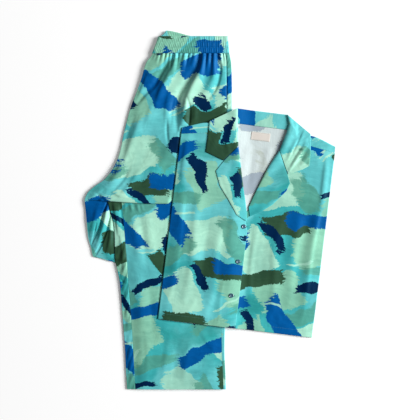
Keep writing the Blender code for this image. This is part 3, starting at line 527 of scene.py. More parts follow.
def cubic(places, values, place):
    """A smooth curve through values at rising places, without overshoot."""
    secants = np.diff(values) / np.diff(places)
    before, after = secants[:-1], secants[1:]
    same_way = before * after > 0
    total = np.where(same_way, before + after, 1.0)
    inner = np.where(same_way, 2 * before * after / total, 0.0)
    slopes = np.concatenate((secants[:1], inner, secants[-1:]))
    place = np.clip(place, places[0], places[-1])
    k = np.clip(np.searchsorted(places, place, side="right") - 1, 0, len(places) - 2)
    span = places[k + 1] - places[k]
    t = (place - places[k]) / span
    rise = (values[k + 1] - values[k]) * t * t * (3 - 2 * t)
    pulls = slopes[k] * t * (1 - t) ** 2 - slopes[k + 1] * t * t * (1 - t)
    return values[k] + rise + span * pulls


def column(table, name, place):
    """A table's named column at places along its first one."""
    places = np.array([row[0] for row in table], float)
    return cubic(places, np.array([getattr(row, name) for row in table], float), place)


def trouser(name, down):
    """One of the trousers' lines: its x at places down them."""
    return column(TROUSERS, name, down)


def row_at(table, place, name):
    """A column of a table read as a list with straight runs between its rows."""
    return np.interp(place, np.arange(len(table)), [getattr(row, name) for row in table])


def smooth_path(path, samples=28):
    """Points spread along a smooth curve through a path's places."""
    places = np.array(path, float)
    lengths = np.concatenate(([0.0], np.cumsum(np.hypot(*np.diff(places, axis=0).T))))
    spread = np.linspace(0, lengths[-1], samples)
    return cubic(lengths, places[:, 0], spread), cubic(lengths, places[:, 1], spread)


def off_path(path, x, y):
    """How far places lie off a path, more than 0 on its right, and their share of its length."""
    path_x, path_y = smooth_path(path)
    nearest = np.full(x.shape, np.inf)
    aside, share = np.zeros_like(x), np.zeros_like(x)
    for k in range(len(path_x) - 1):
        along_x, along_y = path_x[k + 1] - path_x[k], path_y[k + 1] - path_y[k]
        length = math.hypot(along_x, along_y)
        from_x, from_y = x - path_x[k], y - path_y[k]
        along = (from_x * along_x + from_y * along_y) / length
        off = (from_x * along_y - from_y * along_x) / length
        past = np.maximum(np.maximum(-along, along - length), 0.0)
        distance = np.hypot(off, past)
        closer = distance < nearest
        nearest = np.where(closer, distance, nearest)
        aside = np.where(closer, np.where(off < 0, -distance, distance), aside)
        share = np.where(closer, (k + np.clip(along / length, 0, 1)) / (len(path_x) - 1), share)
    return aside, share


def creases(table, x, y):
    """Height that a table of creases adds at places."""
    depth = bpy.context.scene.pyjama_sizes.crease_depth
    x, y = np.broadcast_arrays(np.asarray(x, float), np.asarray(y, float))
    total = np.zeros_like(x)
    for crease in table:
        aside, share = off_path(crease.path, x, y)
        ends = smooth(share / 0.3) * smooth((1 - share) / 0.3)
        swell = 0.35 + 0.65 * ends
        width = crease.width * (1 + crease.lean * np.tanh(aside / crease.width)) * (0.75 + 0.25 * swell)
        total += crease.height * depth * swell * bell(aside, width)
    return total


def swells(x, y):
    """Slow swells, always a little above zero."""
    total = np.zeros_like(x)
    for wave in SWELLS:
        angle = 2 * math.pi * (x / wave.x_length + y / wave.y_length) + wave.phase
        total += wave.height * (0.5 + 0.5 * np.sin(angle))
    return total


def edge_curl(distance, radius, depth):
    """How far a pressed edge rounds down, `distance` in from it."""
    share = 1 - np.clip(distance / radius, 0.0, 1.0)
    return depth * (1 - np.sqrt(np.maximum(1 - share * share, 0.0)))


def hem_relief(distance, depth_of_hem):
    """A turned-up hem: a little raised, with a groove and small puckers along its stitching."""
    raised = 0.25 * (1 - smooth((distance - depth_of_hem) / 1.6))
    groove = 0.3 * bell(distance - depth_of_hem, 1.3)
    return raised - groove


def puckers(distance, along, pitch, height, reach):
    """Small ripples that a row of stitches draws up, fading away from it."""
    ripple = 0.5 + 0.5 * np.sin(2 * math.pi * along / pitch + 1.7 * np.sin(along / (3.1 * pitch)))
    return height * ripple * bell(distance, reach)


# ---------------------------------------------------------------- meshes


def cad_shift():
    """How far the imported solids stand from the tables' own origin, in metres."""
    low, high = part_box("waistband_front")
    return Vector((low.x - BAND_SOLID_LEFT * MM, high.y - (WAIST_TOP - BAND_START) * MM, 0))


SHIFT = cad_shift()


def grid_mesh(name, columns, rows, surface, cut):
    """A fine grid laid out by a surface, with the place on the printed cloth as its UV map."""
    grid = bmesh.new()
    bmesh.ops.create_grid(grid, x_segments=columns, y_segments=rows, size=0.5)
    mesh = bpy.data.meshes.new(name)
    grid.to_mesh(mesh)
    grid.free()
    flat = np.empty(len(mesh.vertices) * 3)
    mesh.vertices.foreach_get("co", flat)
    corners = flat.reshape(-1, 3)
    x, y, height, cloth_u, cloth_v = surface(corners[:, 0] + 0.5, corners[:, 1] + 0.5)
    points = np.column_stack((x, y, height)) * MM + np.array(SHIFT)
    mesh.vertices.foreach_set("co", points.ravel())
    turn = math.radians(cut.turn)
    u = (cloth_u * math.cos(turn) - cloth_v * math.sin(turn)) * MM + cut.shift_u
    v = (cloth_u * math.sin(turn) + cloth_v * math.cos(turn)) * MM + cut.shift_v
    corner_of = np.empty(len(mesh.loops), int)
    mesh.loops.foreach_get("vertex_index", corner_of)
    layer = mesh.uv_layers.new(name="cloth")
    layer.data.foreach_set("uv", np.column_stack((u, v))[corner_of].ravel())
    mesh.update()
    return mesh


def face_up(mesh, columns, rows, s, t):
    """Turns all the faces over if the one at (s, t), which lies on top, looks down."""
    spot = min(int(t * rows), rows - 1) * columns + min(int(s * columns), columns - 1)
    if mesh.polygons[spot].normal.z < 0:
        mesh.flip_normals()


def close_tube(mesh):
    """Joins a tube's first and last columns."""
    shell = bmesh.new()
    shell.from_mesh(mesh)
    bmesh.ops.remove_doubles(shell, verts=shell.verts, dist=WELD)
    shell.to_mesh(mesh)
    shell.free()


def placed(name, data):
    """A new object in the scene."""
    thing = bpy.data.objects.new(name, data)
    bpy.context.scene.collection.objects.link(thing)
    return thing


def mesh_of(thing, **settings):
    """A new mesh from an object with its modifiers applied, and the object gone."""
    graph = bpy.context.evaluated_depsgraph_get()
    made = bpy.data.meshes.new_from_object(thing.evaluated_get(graph), depsgraph=graph, **settings)
    bpy.data.objects.remove(thing)
    return made


def thickened(mesh):
    """A sheet with the cloth's thickness under it."""
    sheet = placed(mesh.name, mesh)
    thickness = sheet.modifiers.new("thickness", "SOLIDIFY")
    thickness.thickness = bpy.context.scene.pyjama_sizes.cloth_thickness
    thickness.offset = -1.0
    made = mesh_of(sheet, preserve_all_data_layers=True)
    bpy.data.meshes.remove(mesh)
    return made


def add_piece(name, mesh, material, slot, nodes=()):
    """A finished piece: it rides on the set's one body and stands for its solids."""
    mesh.materials.append(material)
    mesh.shade_smooth()
    mesh.set_sharp_from_angle(angle=RIM_ANGLE)
    piece = placed(name, mesh)
    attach(piece, BODY)
    if nodes:
        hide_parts(*nodes)
    return piece


def cloth_piece(name, size, surface, look, node, rests_on, top=(0.5, 0.5), tube=False):
    """A piece of cloth: a fine grid with the cloth's thickness inside it. `look` is its material's name and
    its slot, and the slot is not used. `top` is a place (s, t) on an open piece that faces up."""
    cut = CUTS[name]
    mesh = grid_mesh(name, *size, surface, cut)
    face_up(mesh, *size, *(TUBE_TOP if tube else top))
    if tube:
        close_tube(mesh)
    piece = add_piece(name, thickened(mesh), finish(look[0]), look[1], [node])
    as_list(rests_on)
    return piece


# ---------------------------------------------------------------- where the shirt lies


def shirt_place(u, v):
    """A place in the shirt's frame, in the set's."""
    cos, sin = math.cos(SHIRT_TILT), math.sin(SHIRT_TILT)
    return SHIRT_HEM[0] + u * cos + v * sin, SHIRT_HEM[1] - u * sin + v * cos


def shirt_frame(x, y):
    """A place in the set's frame, in the shirt's."""
    cos, sin = math.cos(SHIRT_TILT), math.sin(SHIRT_TILT)
    x, y = x - SHIRT_HEM[0], y - SHIRT_HEM[1]
    return x * cos - y * sin, x * sin + y * cos


def uncovered(x, down):
    """1 where the trousers are bare, 0 where the shirt presses them flat."""
    u, v = shirt_frame(x, WAIST_TOP - down)
    covered = 1.0
    for depth in (u + SIDE, column(SHIRT_TOP, "top", np.abs(u)) - v, v):
        covered = covered * smooth((depth + PRESS_MARGIN) / PRESS_FADE)
    return 1.0 - covered


# ---------------------------------------------------------------- trousers


def tube_point(down, along):
    """A place on the upper leg, a flattened tube: along runs 0 to 1 over the top from left to right, to 2
    round the right fold, to 3 back underneath, and to 4 round the left fold. The third number is how far
    round the cloth it is."""
    left = trouser("fold", down) + LEG_RADIUS
    right = trouser("right", down) - LEG_RADIUS
    width, arc = right - left, math.pi * LEG_RADIUS
    place = along % 4
    side = np.floor(place)
    share = place - side
    angle = share * math.pi
    over, under = blend(left, right, share), blend(right, left, share)
    round_right, round_left = right + LEG_RADIUS * np.sin(angle), left - LEG_RADIUS * np.sin(angle)
    level = np.ones_like(angle), np.cos(angle), -np.ones_like(angle), -np.cos(angle)
    x = np.choose(side.astype(int), (over, round_right, under, round_left))
    level = np.choose(side.astype(int), level)
    length = left + width * np.clip(along, 0, 1) + arc * np.clip(along, -1, 0)
    length += arc * np.clip(along - 1, 0, 1) + width * np.clip(along - 2, 0, 1)
    length += arc * np.clip(along - 3, 0, 1) + width * np.clip(along - 4, 0, 1)
    return x, LEG_FLOOR + LEG_RADIUS * (1 + level), length


def share_across(down, name, shift=0.0):
    """Where a seam lies over the tube's top, as a share of its width."""
    left = trouser("fold", down) + LEG_RADIUS
    right = trouser("right", down) - LEG_RADIUS
    return (trouser(name, down) + shift - left) / (right - left)


def edge_fade(x, down):
    """0 at the tube's folds and 1 away from them."""
    from_fold = (x - trouser("fold", down)) / 14
    from_right = (trouser("right", down) - x) / 10
    return smooth(from_fold) * smooth(from_right)


def gathers(x, down, share):
    """Gathers that fan down from the waistband, with the band's fine ribs fading out between them."""
    depth = bpy.context.scene.pyjama_sizes.gather_height
    below = down - SEAT_START
    total = np.zeros_like(x)
    for gather in GATHERS:
        fallen = below / gather.length
        aside = x - blend(gather.top, gather.foot, fallen)
        width = gather.width * (1 + 0.5 * np.clip(fallen, 0, 1))
        total += gather.height * (1 - smooth(fallen)) * bell(aside, width)
    ribs = 0.5 - 0.5 * np.cos(2 * math.pi * BAND_RIBS * share * 1.08)
    return depth * (1.45 * total + 0.6 * ribs * (1 - smooth(below / 22)))


def seat_relief(x, down):
    """How far the bare seat swells, its creases and its side seam's puckers."""
    from_fold = x - trouser("fold", down)
    side_seam = trouser("side", down) - x
    swell = smooth(from_fold / 26) * smooth((side_seam + 12) / 24)
    puff = SEAT_PUFF * swell * blend(0.3, 1.0, smooth((down - SEAT_START) / 24))
    puff *= blend(1.0, 0.55, smooth((down - 180) / 160))
    relief = creases(SEAT_CREASES, x, down) + swells(x, down) * smooth((down - 90) / 60)
    relief += puckers(side_seam, down, 13.0, 0.5, 7.0)
    return puff + relief * edge_fade(x, down)


def thinned(surface):
    """A surface of the trousers, pressed thinner towards the left edge."""

    def pressed(s, t):
        x, y, height, cloth_u, cloth_v = surface(s, t)
        down = WAIST_TOP - y
        from_edge = smooth((x - trouser("left", down)) / THIN_WIDTH)
        height = height * (1 - column(THINNING, "share", down) * (1 - from_edge))
        return x, y, height, cloth_u, cloth_v

    return pressed


def tucked(x):
    """1 along the tuck and 0 past its ends: left of it the seat runs on into the crotch extension."""
    return smooth((x - TUCK_LEFT) / TUCK_FADE) * (1 - smooth((x - TUCK_RIGHT) / TUCK_FADE))


def tuck_edge(x):
    """How far the tuck's lip hangs over the leg, more towards the shirt."""
    return blend(*TUCK_OVERHANG, smooth((x - TUCK_LEFT) / TUCK_SLANT)) * tucked(x)


def tuck_rise(x, down):
    """How far the tuck's lip lifts the seat's lower edge, so that it lies over the leg."""
    return TUCK_RISE * smooth((down - TUCK) / TUCK_FADE + 1) * tucked(x)


@thinned
def seat_front(s, t):
    across = np.interp(s, (0, 0.06, 1), (-SEAT_WRAP, 0, 1))

    def along(down):
        return np.where(across < 0, across, across * share_across(down, "side", -SEAM_GAP))

    overhang = tuck_edge(tube_point(TUCK, along(TUCK))[0])
    bend, on_lip = TUCK - LIP_ROOM, (t - LIP_SHARE) / (1 - LIP_SHARE)
    above_lip = blend(SEAT_START, bend, t / LIP_SHARE)
    reach = np.where(t < LIP_SHARE, above_lip, blend(bend, TUCK + overhang, on_lip))
    down = np.minimum(reach, TUCK)
    lip = reach - down
    x, height, length = tube_point(down, along(down))
    wrap = np.where(across < 0, 1 + across * 2, 1.0)
    height = height + tuck_rise(x, down) * wrap
    bare = uncovered(x, down) * (across > 0)
    seam = smooth((trouser("side", down) - x) / 5) * edge_fade(x, down)
    height += bare * (seat_relief(x, down) + seam * gathers(x, down, np.clip(across, 0, 1)))
    height -= edge_curl(trouser("side", down) - x, SEAM_DIP_WIDTH, SEAM_DIP)
    height -= edge_curl(TUCK + overhang - reach, *LIP_CURL) * tucked(x)
    return x, WAIST_TOP - down - lip, height, length, -down - lip


@thinned
def leg_front(s, t):
    down = blend(LEG_START, HEM, t)
    inseam, side = share_across(down, "inseam"), share_across(down, "side", -SEAM_GAP)
    x, height, length = tube_point(down, blend(inseam, side, s))
    bare = uncovered(x, down)
    from_inseam = x - trouser("inseam", down)
    bare = bare * smooth((down - TUCK - tuck_edge(x)) / 4 + 0.6)
    height += bare * creases(LEG_CREASES, x, down) * smooth(from_inseam / 9)
    height += bare * swells(x, down) * smooth(from_inseam / 12) * smooth(s * 60) * smooth((1 - s) * 40)
    height += bare * LEG_PUFF * smooth(from_inseam / 26) * smooth((1 - s) * 9) * smooth((HEM - down) / 30)
    height += bare * puckers(from_inseam, down, 11.0, 0.25, 5.0) * smooth(from_inseam / 2)
    height += bare * hem_relief(HEM - down, TROUSER_HEM_DEPTH)
    height -= edge_curl(HEM - down, *HEM_CURL)
    return x, WAIST_TOP - down, height, length, -down


def back_along(across, down, last):
    """The back's places round the tube: from the side seam (0) over the right fold (1 to 2), underneath (to
    3), round the left fold (to 4) and on to the inseam (5)."""
    over = blend(share_across(down, "side"), 1.0, across)
    end = 4 + share_across(down, "inseam", -SEAM_GAP) * (across - 4)
    return np.where(across < 1, over, np.where(across <= 4, np.minimum(across, last), end))


@thinned
def seat_back(s, t):
    across = np.interp(s, (0, 0.15, 0.35, 0.75, 1), (0, 1, 2, 3, SEAT_BACK_END))
    down = blend(SEAT_START, TUCK, t)
    x, height, length = tube_point(down, back_along(across, down, SEAT_BACK_END))
    on_top = (across < 1) * smooth(across * 6) * smooth((1 - across) * 4)
    from_seam = x - trouser("side", down)
    height += on_top * uncovered(x, down) * puckers(from_seam - 4, down + 0.7 * from_seam, 16.0, 1.8, 8.0)
    height -= edge_curl(np.where(across < 1, from_seam, SEAM_DIP_WIDTH), SEAM_DIP_WIDTH, SEAM_DIP)
    return x, WAIST_TOP - down, height, length, -down


@thinned
def leg_back(s, t):
    across = np.interp(s, (0, 0.09, 0.21, 0.5, 0.62, 1), (0, 1, 2, 3, 4, 5))
    down = blend(LEG_START, HEM, t)
    x, height, length = tube_point(down, back_along(across, down, 4.0))
    from_inseam = trouser("inseam", down) - x
    on_strip = (across > 4) * smooth((across - 4) * 3)
    slanted = down - 1.8 * from_inseam
    strength = 0.25 + 0.75 * smooth(0.5 + 0.6 * np.sin(down / 47 + 1.4 * np.sin(down / 67)))
    drawn_up = puckers(from_inseam - 10, slanted, 41.0, 2.7, 13.0)
    drawn_up += puckers(from_inseam - 4, slanted, 17.0, 0.5, 9.0)
    drawn_up *= strength * smooth((down - 560) / 60)
    drawn_up += creases(STRIP_CREASES, x, down)
    height += on_strip * drawn_up * smooth(from_inseam / 2.5)
    height += on_strip * hem_relief(HEM - down, TROUSER_HEM_DEPTH)
    height -= edge_curl(HEM - down, *HEM_CURL) * (height > LEG_FLOOR + LEG_RADIUS)
    return x, WAIST_TOP - down, height, length, -down


@thinned
def crotch_extension(s, t):
    """The pleated crotch extension: it runs on from the seat at the left, and elsewhere lies lower."""
    row = blend(CROTCH_START, CROTCH_END, t)
    left, fold = trouser("left", row), trouser("fold", row)
    x = blend(left, fold - 2 * SEAM_GAP, s)
    down = blend(CROTCH_START, CROTCH_END + CROTCH_SLOPE * smooth(s), t)
    rim = smooth((x - left) / (4 * CROTCH_TOP))
    puff = CROTCH_PUFF * smooth((x - left) / 16) * smooth((fold - x) / 12) * smooth((CROTCH_END - row) / 16)
    pleats = creases(CROTCH_CREASES, x, down) * rim * smooth((CROTCH_END - row) / 6)
    low = LEG_FLOOR + blend(CROTCH_RIM, CROTCH_TOP, rim) + puff + pleats + 0.5 * swells(2 * x, down) * rim
    seat = LEG_FLOOR + 2 * LEG_RADIUS - edge_curl(x - left, LEG_RADIUS, LEG_RADIUS) + seat_relief(x, down)
    joined = (1 - smooth((x - TUCK_LEFT) / TUCK_FADE)) * (1 - smooth((down - CROTCH_START) / 36))
    return x, WAIST_TOP - down, np.maximum(blend(low, seat, joined), LEG_FLOOR + 0.5), x, -down


def layered_edge(share):
    """Half the section of two rounded layers, one on the other: height and inset, 0 to 1."""
    height = np.interp(share, (0, 0.15, 0.45, 0.5, 0.55, 0.85, 1), (0, 0.2, 0.42, 0.48, 0.54, 0.8, 1))
    bulge = np.abs(np.sin(2 * math.pi * np.clip(height, 0, 0.9999))) ** 0.5
    return height, 1 - 0.8 * bulge


def hidden_tube(side, thick, s):
    """The section of hidden layers, `thick` in all: across the top from left to right, round the right
    edge, back underneath and round the left edge. `side` is (left, right)."""
    turn = np.interp(s, (0, 0.32, 0.5, 0.82, 1), (0, 1, 2, 3, 4))
    down_right, inset_right = layered_edge(np.clip(2 - turn, 0, 1))
    up_left, inset_left = layered_edge(np.clip(turn - 3, 0, 1))
    left, right = side[0] + UNDER_RIM, side[1] - UNDER_RIM
    top_x = blend(left, right, np.clip(turn, 0, 1))
    right_x = side[1] - UNDER_RIM * inset_right
    under_x = blend(right, left, np.clip(turn - 2, 0, 1))
    left_x = side[0] + UNDER_RIM * inset_left
    part = np.clip(np.floor(turn), 0, 3).astype(int)
    x = np.choose(part, (top_x, right_x, under_x, left_x))
    height = np.choose(part, (np.ones_like(s), down_right, np.zeros_like(s), up_left))
    x = np.where(turn >= 4, left, x)
    height = np.where(turn >= 4, 1.0, height)
    return x, height * thick, (right - left) * turn / 2


@thinned
def hidden_leg(s, t):
    down = blend(UNDER_WAIST, UNDER_HEM, t)
    left = trouser("left", down) + UNDER_INSET
    right = trouser("right", down) - UNDER_INSET
    x, height, length = hidden_tube((left, right), UNDER_LEG_TOP, s)
    return x, WAIST_TOP - down, height, length, -down


def band_point(across, share, inset, top_rise=0.0):
    """A place on a waistband, whose ends slope out a little downwards."""
    left = blend(*BAND_LEFT, share) + inset
    right = blend(*BAND_RIGHT, share) - inset
    return blend(left, right, across), WAIST_TOP - blend(BAND_START - top_rise, BAND_END, share)


def ribbing(across, share, pitch_shift):
    """Cloth drawn up on elastic: fine ribs that puff out between the rows of stitching."""
    channel = np.clip(share, 0, 0.9999) * BAND_CHANNELS
    puff = np.abs(np.sin(math.pi * channel)) ** 0.7
    drift = 0.14 * np.sin(2 * math.pi * 5.3 * across + 1.9 * np.floor(channel) + pitch_shift)
    ribs = np.abs(np.sin(math.pi * (BAND_RIBS * across + drift * puff))) ** 0.8
    uneven = 0.75 + 0.25 * np.sin(2 * math.pi * 13.7 * across + 2.3 * np.floor(channel))
    return BAND_PUFF * puff + BAND_RIB_HEIGHT * ribs * uneven * blend(0.5, 1.0, puff)


def band_front(s, t):
    across = np.interp(s, BAND_S_STOPS, (0, 0, 1, 1))
    share = np.interp(t, BAND_T_STOPS, (0, 0, 1, 1))
    x, y = band_point(across, share, 0.0)
    ends = np.minimum(across, 1 - across) * (BAND_RIGHT[0] - BAND_LEFT[0])
    edges = np.minimum(share, 1 - share) * (BAND_END - BAND_START)
    full = BAND_FRONT_TOP - BAND_FRONT_FLOOR
    height = BAND_FRONT_TOP + ribbing(across, share, 0.0) * smooth(ends / 5) * smooth(0.3 + edges / 2)
    height -= edge_curl(ends, 1.6, full / 2) + edge_curl(edges, 1.4, full / 2)
    rims = np.interp(s, BAND_S_STOPS, (1, 0, 0, 1)), np.interp(t, BAND_T_STOPS, (1, 0, 0, 1))
    sunk = np.maximum(*rims)
    height = np.maximum(height - sunk * full / 2, BAND_FRONT_FLOOR + 0.1)
    return x, y, height, BAND_EASE * x, -share * (BAND_END - BAND_START)


def band_back(s, t):
    x, _ = band_point(s, t, BAND_BACK_INSET)
    rise = column(BAND_PEEK, "rise", x)
    x, y = band_point(s, t, BAND_BACK_INSET, rise)
    edges = (1 - np.abs(2 * t - 1)) * 25
    ends = np.minimum(s, 1 - s) * 200
    peeking = smooth((rise + 1) / 3) * (1 - smooth((t * 50 - rise) / 3))
    ribs = 0.5 - 0.5 * np.cos(2 * math.pi * (BAND_RIBS * s + 0.4 * np.sin(9 * s)))
    height = BAND_BACK_TOP + 0.8 * ribs * peeking * smooth(edges / 3)
    height -= edge_curl(edges, 1.5, 1.4) + edge_curl(ends, 1.5, 1.4)
    return x, y, height, BAND_EASE * x, -50 * t


# ---------------------------------------------------------------- shirt


def shirt_base(u, v):
    """What the shirt lies on: the trousers, and past their right fold a soft drop to the floor."""
    x, y = shirt_place(u, v)
    edge = trouser("right", WAIST_TOP - y)
    return SHIRT_LIFT * (1 - smooth((x - edge - DROP_START) / DROP_WIDTH))


def shirt_point(u, v, height, cloth_u=None, cloth_v=None):
    """A point of the shirt, `height` above what it lies on, and its place on the cloth."""
    x, y = shirt_place(u, v)
    cloth_u = u if cloth_u is None else cloth_u
    cloth_v = v if cloth_v is None else cloth_v
    return x, y, shirt_base(u, v) + height, cloth_u, cloth_v


def inner_side(v):
    """How far out the hidden layers reach: inside the fronts' side folds and the shoulders' corners."""
    return blend(UNDER_SIDE, CORNER_SIDE, smooth((v - 495) / 20))


def side_fall(u):
    """How far the folded shirt thins out towards its side folds."""
    return SIDE_FALL * (1 - smooth((SIDE - np.abs(u)) / SIDE_FALL_WIDTH))


def hidden_sides(s, t):
    side = inner_side(blend(*UNDER_ROWS, t))
    u, height, length = hidden_tube((-side, side), SHIRT_UNDER_TOP, s)
    height -= 0.6 * side_fall(u) * height / SHIRT_UNDER_TOP
    top = column(SHIRT_TOP, "top", np.abs(u)) - UNDER_TOP_INSET
    return shirt_point(u, blend(UNDER_HEM_V, top, t), height, length)


def back_panel(s, t):
    side = inner_side(blend(*BACK_ROWS, t)) - 0.5
    u = blend(-side, side, s)
    behind_neck = 1 - smooth((np.abs(u - NECK_MIDDLE) - NECK_HALF) / 8)
    at_shoulder = column(SHIRT_TOP, "shoulder", np.abs(u)) - BACK_TOP_INSET
    v = blend(BACK_HEM_V, blend(at_shoulder, STAND_SEAM - SEAM_GAP, behind_neck), t)
    in_neck = smooth((v - 330) / 60) * (1 - smooth((v - 505) / 12)) * (1 - smooth((np.abs(u) - 48) / 14))
    relief = creases(BACK_CREASES, u, v) + 0.8 * swells(1.3 * u, v)
    return shirt_point(u, v, BACK_TOP - 0.9 * side_fall(u) + np.minimum(relief, 1.2) * in_neck)


def placket_rise(u, v):
    """The right front climbs over the left one's edge along the placket."""
    return PLACKET_RISE * smooth((u + 68) / 32) * (1 - smooth((v - 325) / 50))


def front_relief(u, v):
    """Folds of the fronts, which lie flat under the collar, lapels and buttons."""
    clear_side = smooth((SIDE - np.abs(u)) / 14)
    clear_top = 1 - smooth((v - 320) / 50)
    clear_placket = smooth((np.abs(u + 14) - 22) / 14)
    return (creases(SHIRT_CREASES, u, v) + swells(u, v)) * clear_side * clear_top * clear_placket


def upper_relief(u, v):
    """The bare ground beside the collar, which swells a little too."""
    beside = smooth((np.abs(u) - 158) / 14) * smooth((SIDE - np.abs(u)) / 16)
    relief = swells(u, v) + creases(UPPER_CREASES, u, v)
    return relief * beside * smooth((v - 330) / 40) * (1 - smooth((v - 500) / 15))


def folded_over(across, radius, level):
    """Past 1 across, cloth turns round a fold: its angle there, and the height over all its width."""
    angle = np.maximum(across - 1, 0) * math.pi
    return angle, np.where(across > 1, radius + radius * np.cos(angle), level)


def front(hand, s, t):
    """One front, from its opening to its side and round the side's fold."""
    name, sign = ("right_front", -1) if hand == "right" else ("left_front", 1)
    across = np.interp(s, (0, 0.02, 0.9, 1), (0, 0.008, 1, 2))
    v_share = np.interp(t, FRONT_STOPS, FRONT_SHARES)
    opening = column(OPENING, name, v_share * SHIRT_TOP[0].seam)
    u = blend(opening, sign * (SIDE - FRONT_RADIUS), np.minimum(across, 1.0))
    v = v_share * column(SHIRT_TOP, "seam", np.abs(u))
    level = FRONT_TOP - side_fall(u) + (placket_rise(u, v) if hand == "right" else 0.0)
    from_opening = np.abs(u - opening)
    level = level + front_relief(u, v) + upper_relief(u, v)
    level += hem_relief(v, SHIRT_HEM_DEPTH) * smooth((SIDE - np.abs(u)) / 8)
    level += puckers(v - SHIRT_HEM_DEPTH, u, 9.0, 0.2, 6.0) * smooth((SIDE - np.abs(u)) / 20)
    level -= edge_curl(from_opening, *EDGE_CURL) + edge_curl(v, *EDGE_CURL)
    angle, height = folded_over(across, FRONT_RADIUS, level)
    cloth_u = u + sign * FRONT_RADIUS * angle
    return shirt_point(u + sign * FRONT_RADIUS * np.sin(angle), v, height, cloth_u, v)


right_front = partial(front, "right")
left_front = partial(front, "left")


def shoulder(sign, s, t):
    """The back's strip that comes forward over a shoulder, and round the shoulder's fold."""
    across = np.interp(t, (0, 0.6, 1), (0, 1, 2))
    u = blend(NECK_CORNER - 2, SIDE - 1.2, s)
    level = FRONT_TOP - side_fall(u)
    radius = level / 2
    seam = column(SHIRT_TOP, "seam", np.minimum(u, SIDE - FRONT_RADIUS)) + SEAM_GAP
    edge = column(SHIRT_TOP, "shoulder", u) - radius
    v = blend(seam, edge, np.minimum(across, 1))
    drawn_up = puckers(v - seam, u, 8.0, 0.25, 4.0) * smooth((SIDE - u) / 14) * (across < 1)
    angle, height = folded_over(across, radius, level + drawn_up * smooth((1 - across) * 3))
    v = v + radius * np.sin(angle)
    return shirt_point(sign * u, v, height, sign * u, v + radius * angle)


def neck_stand(s, t):
    """The collar's stand behind the neck, up to the top fold and round it."""
    across = np.interp(t, (0, 0.65, 1), (0, 1, 2))
    radius = STAND_TOP / 2
    edge = SHIRT_TOP[0].top - radius
    v = blend(STAND_SEAM + SEAM_GAP, edge, np.minimum(across, 1.0))
    u = blend(column(STAND, "right", v), column(STAND, "left", v), s)
    level = STAND_TOP + 0.3 * swells(2 * u, 2 * v) * smooth((1 - across) * 4)
    level -= edge_curl(v - STAND_SEAM, 1.2, 0.5)
    angle, height = folded_over(across, radius, level)
    return shirt_point(u, v + radius * np.sin(angle), height, u, v + radius * angle)


def flap(table, thickness, lower, relief, s, t):
    """A lapel or collar fall: it lies on the front, and rolls over a soft nose where it is turned out."""
    turn = np.interp(s, (0, ROLL_SHARE), (0, math.pi))
    across = np.interp(s, (0, ROLL_SHARE, 0.9, 1), (0, 0, 0.965, 1))
    place = t * (len(table) - 1)
    roll_u, roll_v, edge_u, edge_v, radius = (row_at(table, place, name) for name in table[0]._fields)
    width = np.hypot(edge_u - roll_u, edge_v - roll_v)
    reach = np.minimum(ROLL_SPREAD * radius, 0.4 * width)
    nose = blend(2 * np.abs(turn / math.pi - 0.5), 1 - np.sin(turn), 0.25)
    from_roll = reach * nose + across * (width - reach)
    from_edge = width - from_roll
    u, v = blend(roll_u, edge_u, from_roll / width), blend(roll_v, edge_v, from_roll / width)
    below = FRONT_TOP + FLAP_GAP - lower(u, v)
    full = (2 * radius - thickness) * bell(from_roll - reach, ROLL_FADE)
    ends = np.minimum(place, len(table) - 1 - place)
    inner = smooth((from_roll - reach) / 6) * smooth(from_edge / 5) * smooth(ends * 4)
    top = below + thickness + full - edge_curl(from_edge, 2.0, 0.5 * thickness)
    top += (creases(relief, u, v) + 0.6 * swells(1.5 * u, v)) * inner
    top += 0.12 * bell(from_edge - 4.5, 1.6) * smooth(ends * 6)
    height = np.where(turn < math.pi, below + radius * (1 - np.cos(turn)), top)
    if table is LAPEL_RIGHT:
        height += placket_rise(u, v)
    if table is LAPEL_LEFT:
        lifted = bell(place - LAPEL_LIFT_ROW, LAPEL_LIFT_ROWS) * bell(from_edge, LAPEL_LIFT_WIDTH)
        height += LAPEL_LIFT * lifted * (turn == math.pi)
    return shirt_point(u, v, height)


def no_drop(u, v):
    """A lapel lies on its front all over."""
    return 0.0


def past_shoulder(u, v):
    """The falls come down behind the shoulder's edge, where nothing lies under them."""
    return FLAP_FALL * smooth((v - column(SHIRT_TOP, "shoulder", np.abs(u)) - 2) / 26)


def label_surface(s, t):
    u = LABEL_CENTRE[0] + (s - 0.5) * LABEL_SIZE[0]
    v = LABEL_CENTRE[1] + (t - 0.5) * LABEL_SIZE[1]
    inward = np.minimum(np.minimum(s, 1 - s) * LABEL_SIZE[0], np.minimum(t, 1 - t) * LABEL_SIZE[1])
    bow = 0.3 * smooth(inward / 6) * (0.6 + 0.4 * np.sin(u / 7 + 1))
    return shirt_point(u, v, BACK_TOP + SEAM_GAP + LABEL_THICK + bow - edge_curl(inward, 0.8, 0.3))


# ---------------------------------------------------------------- materials


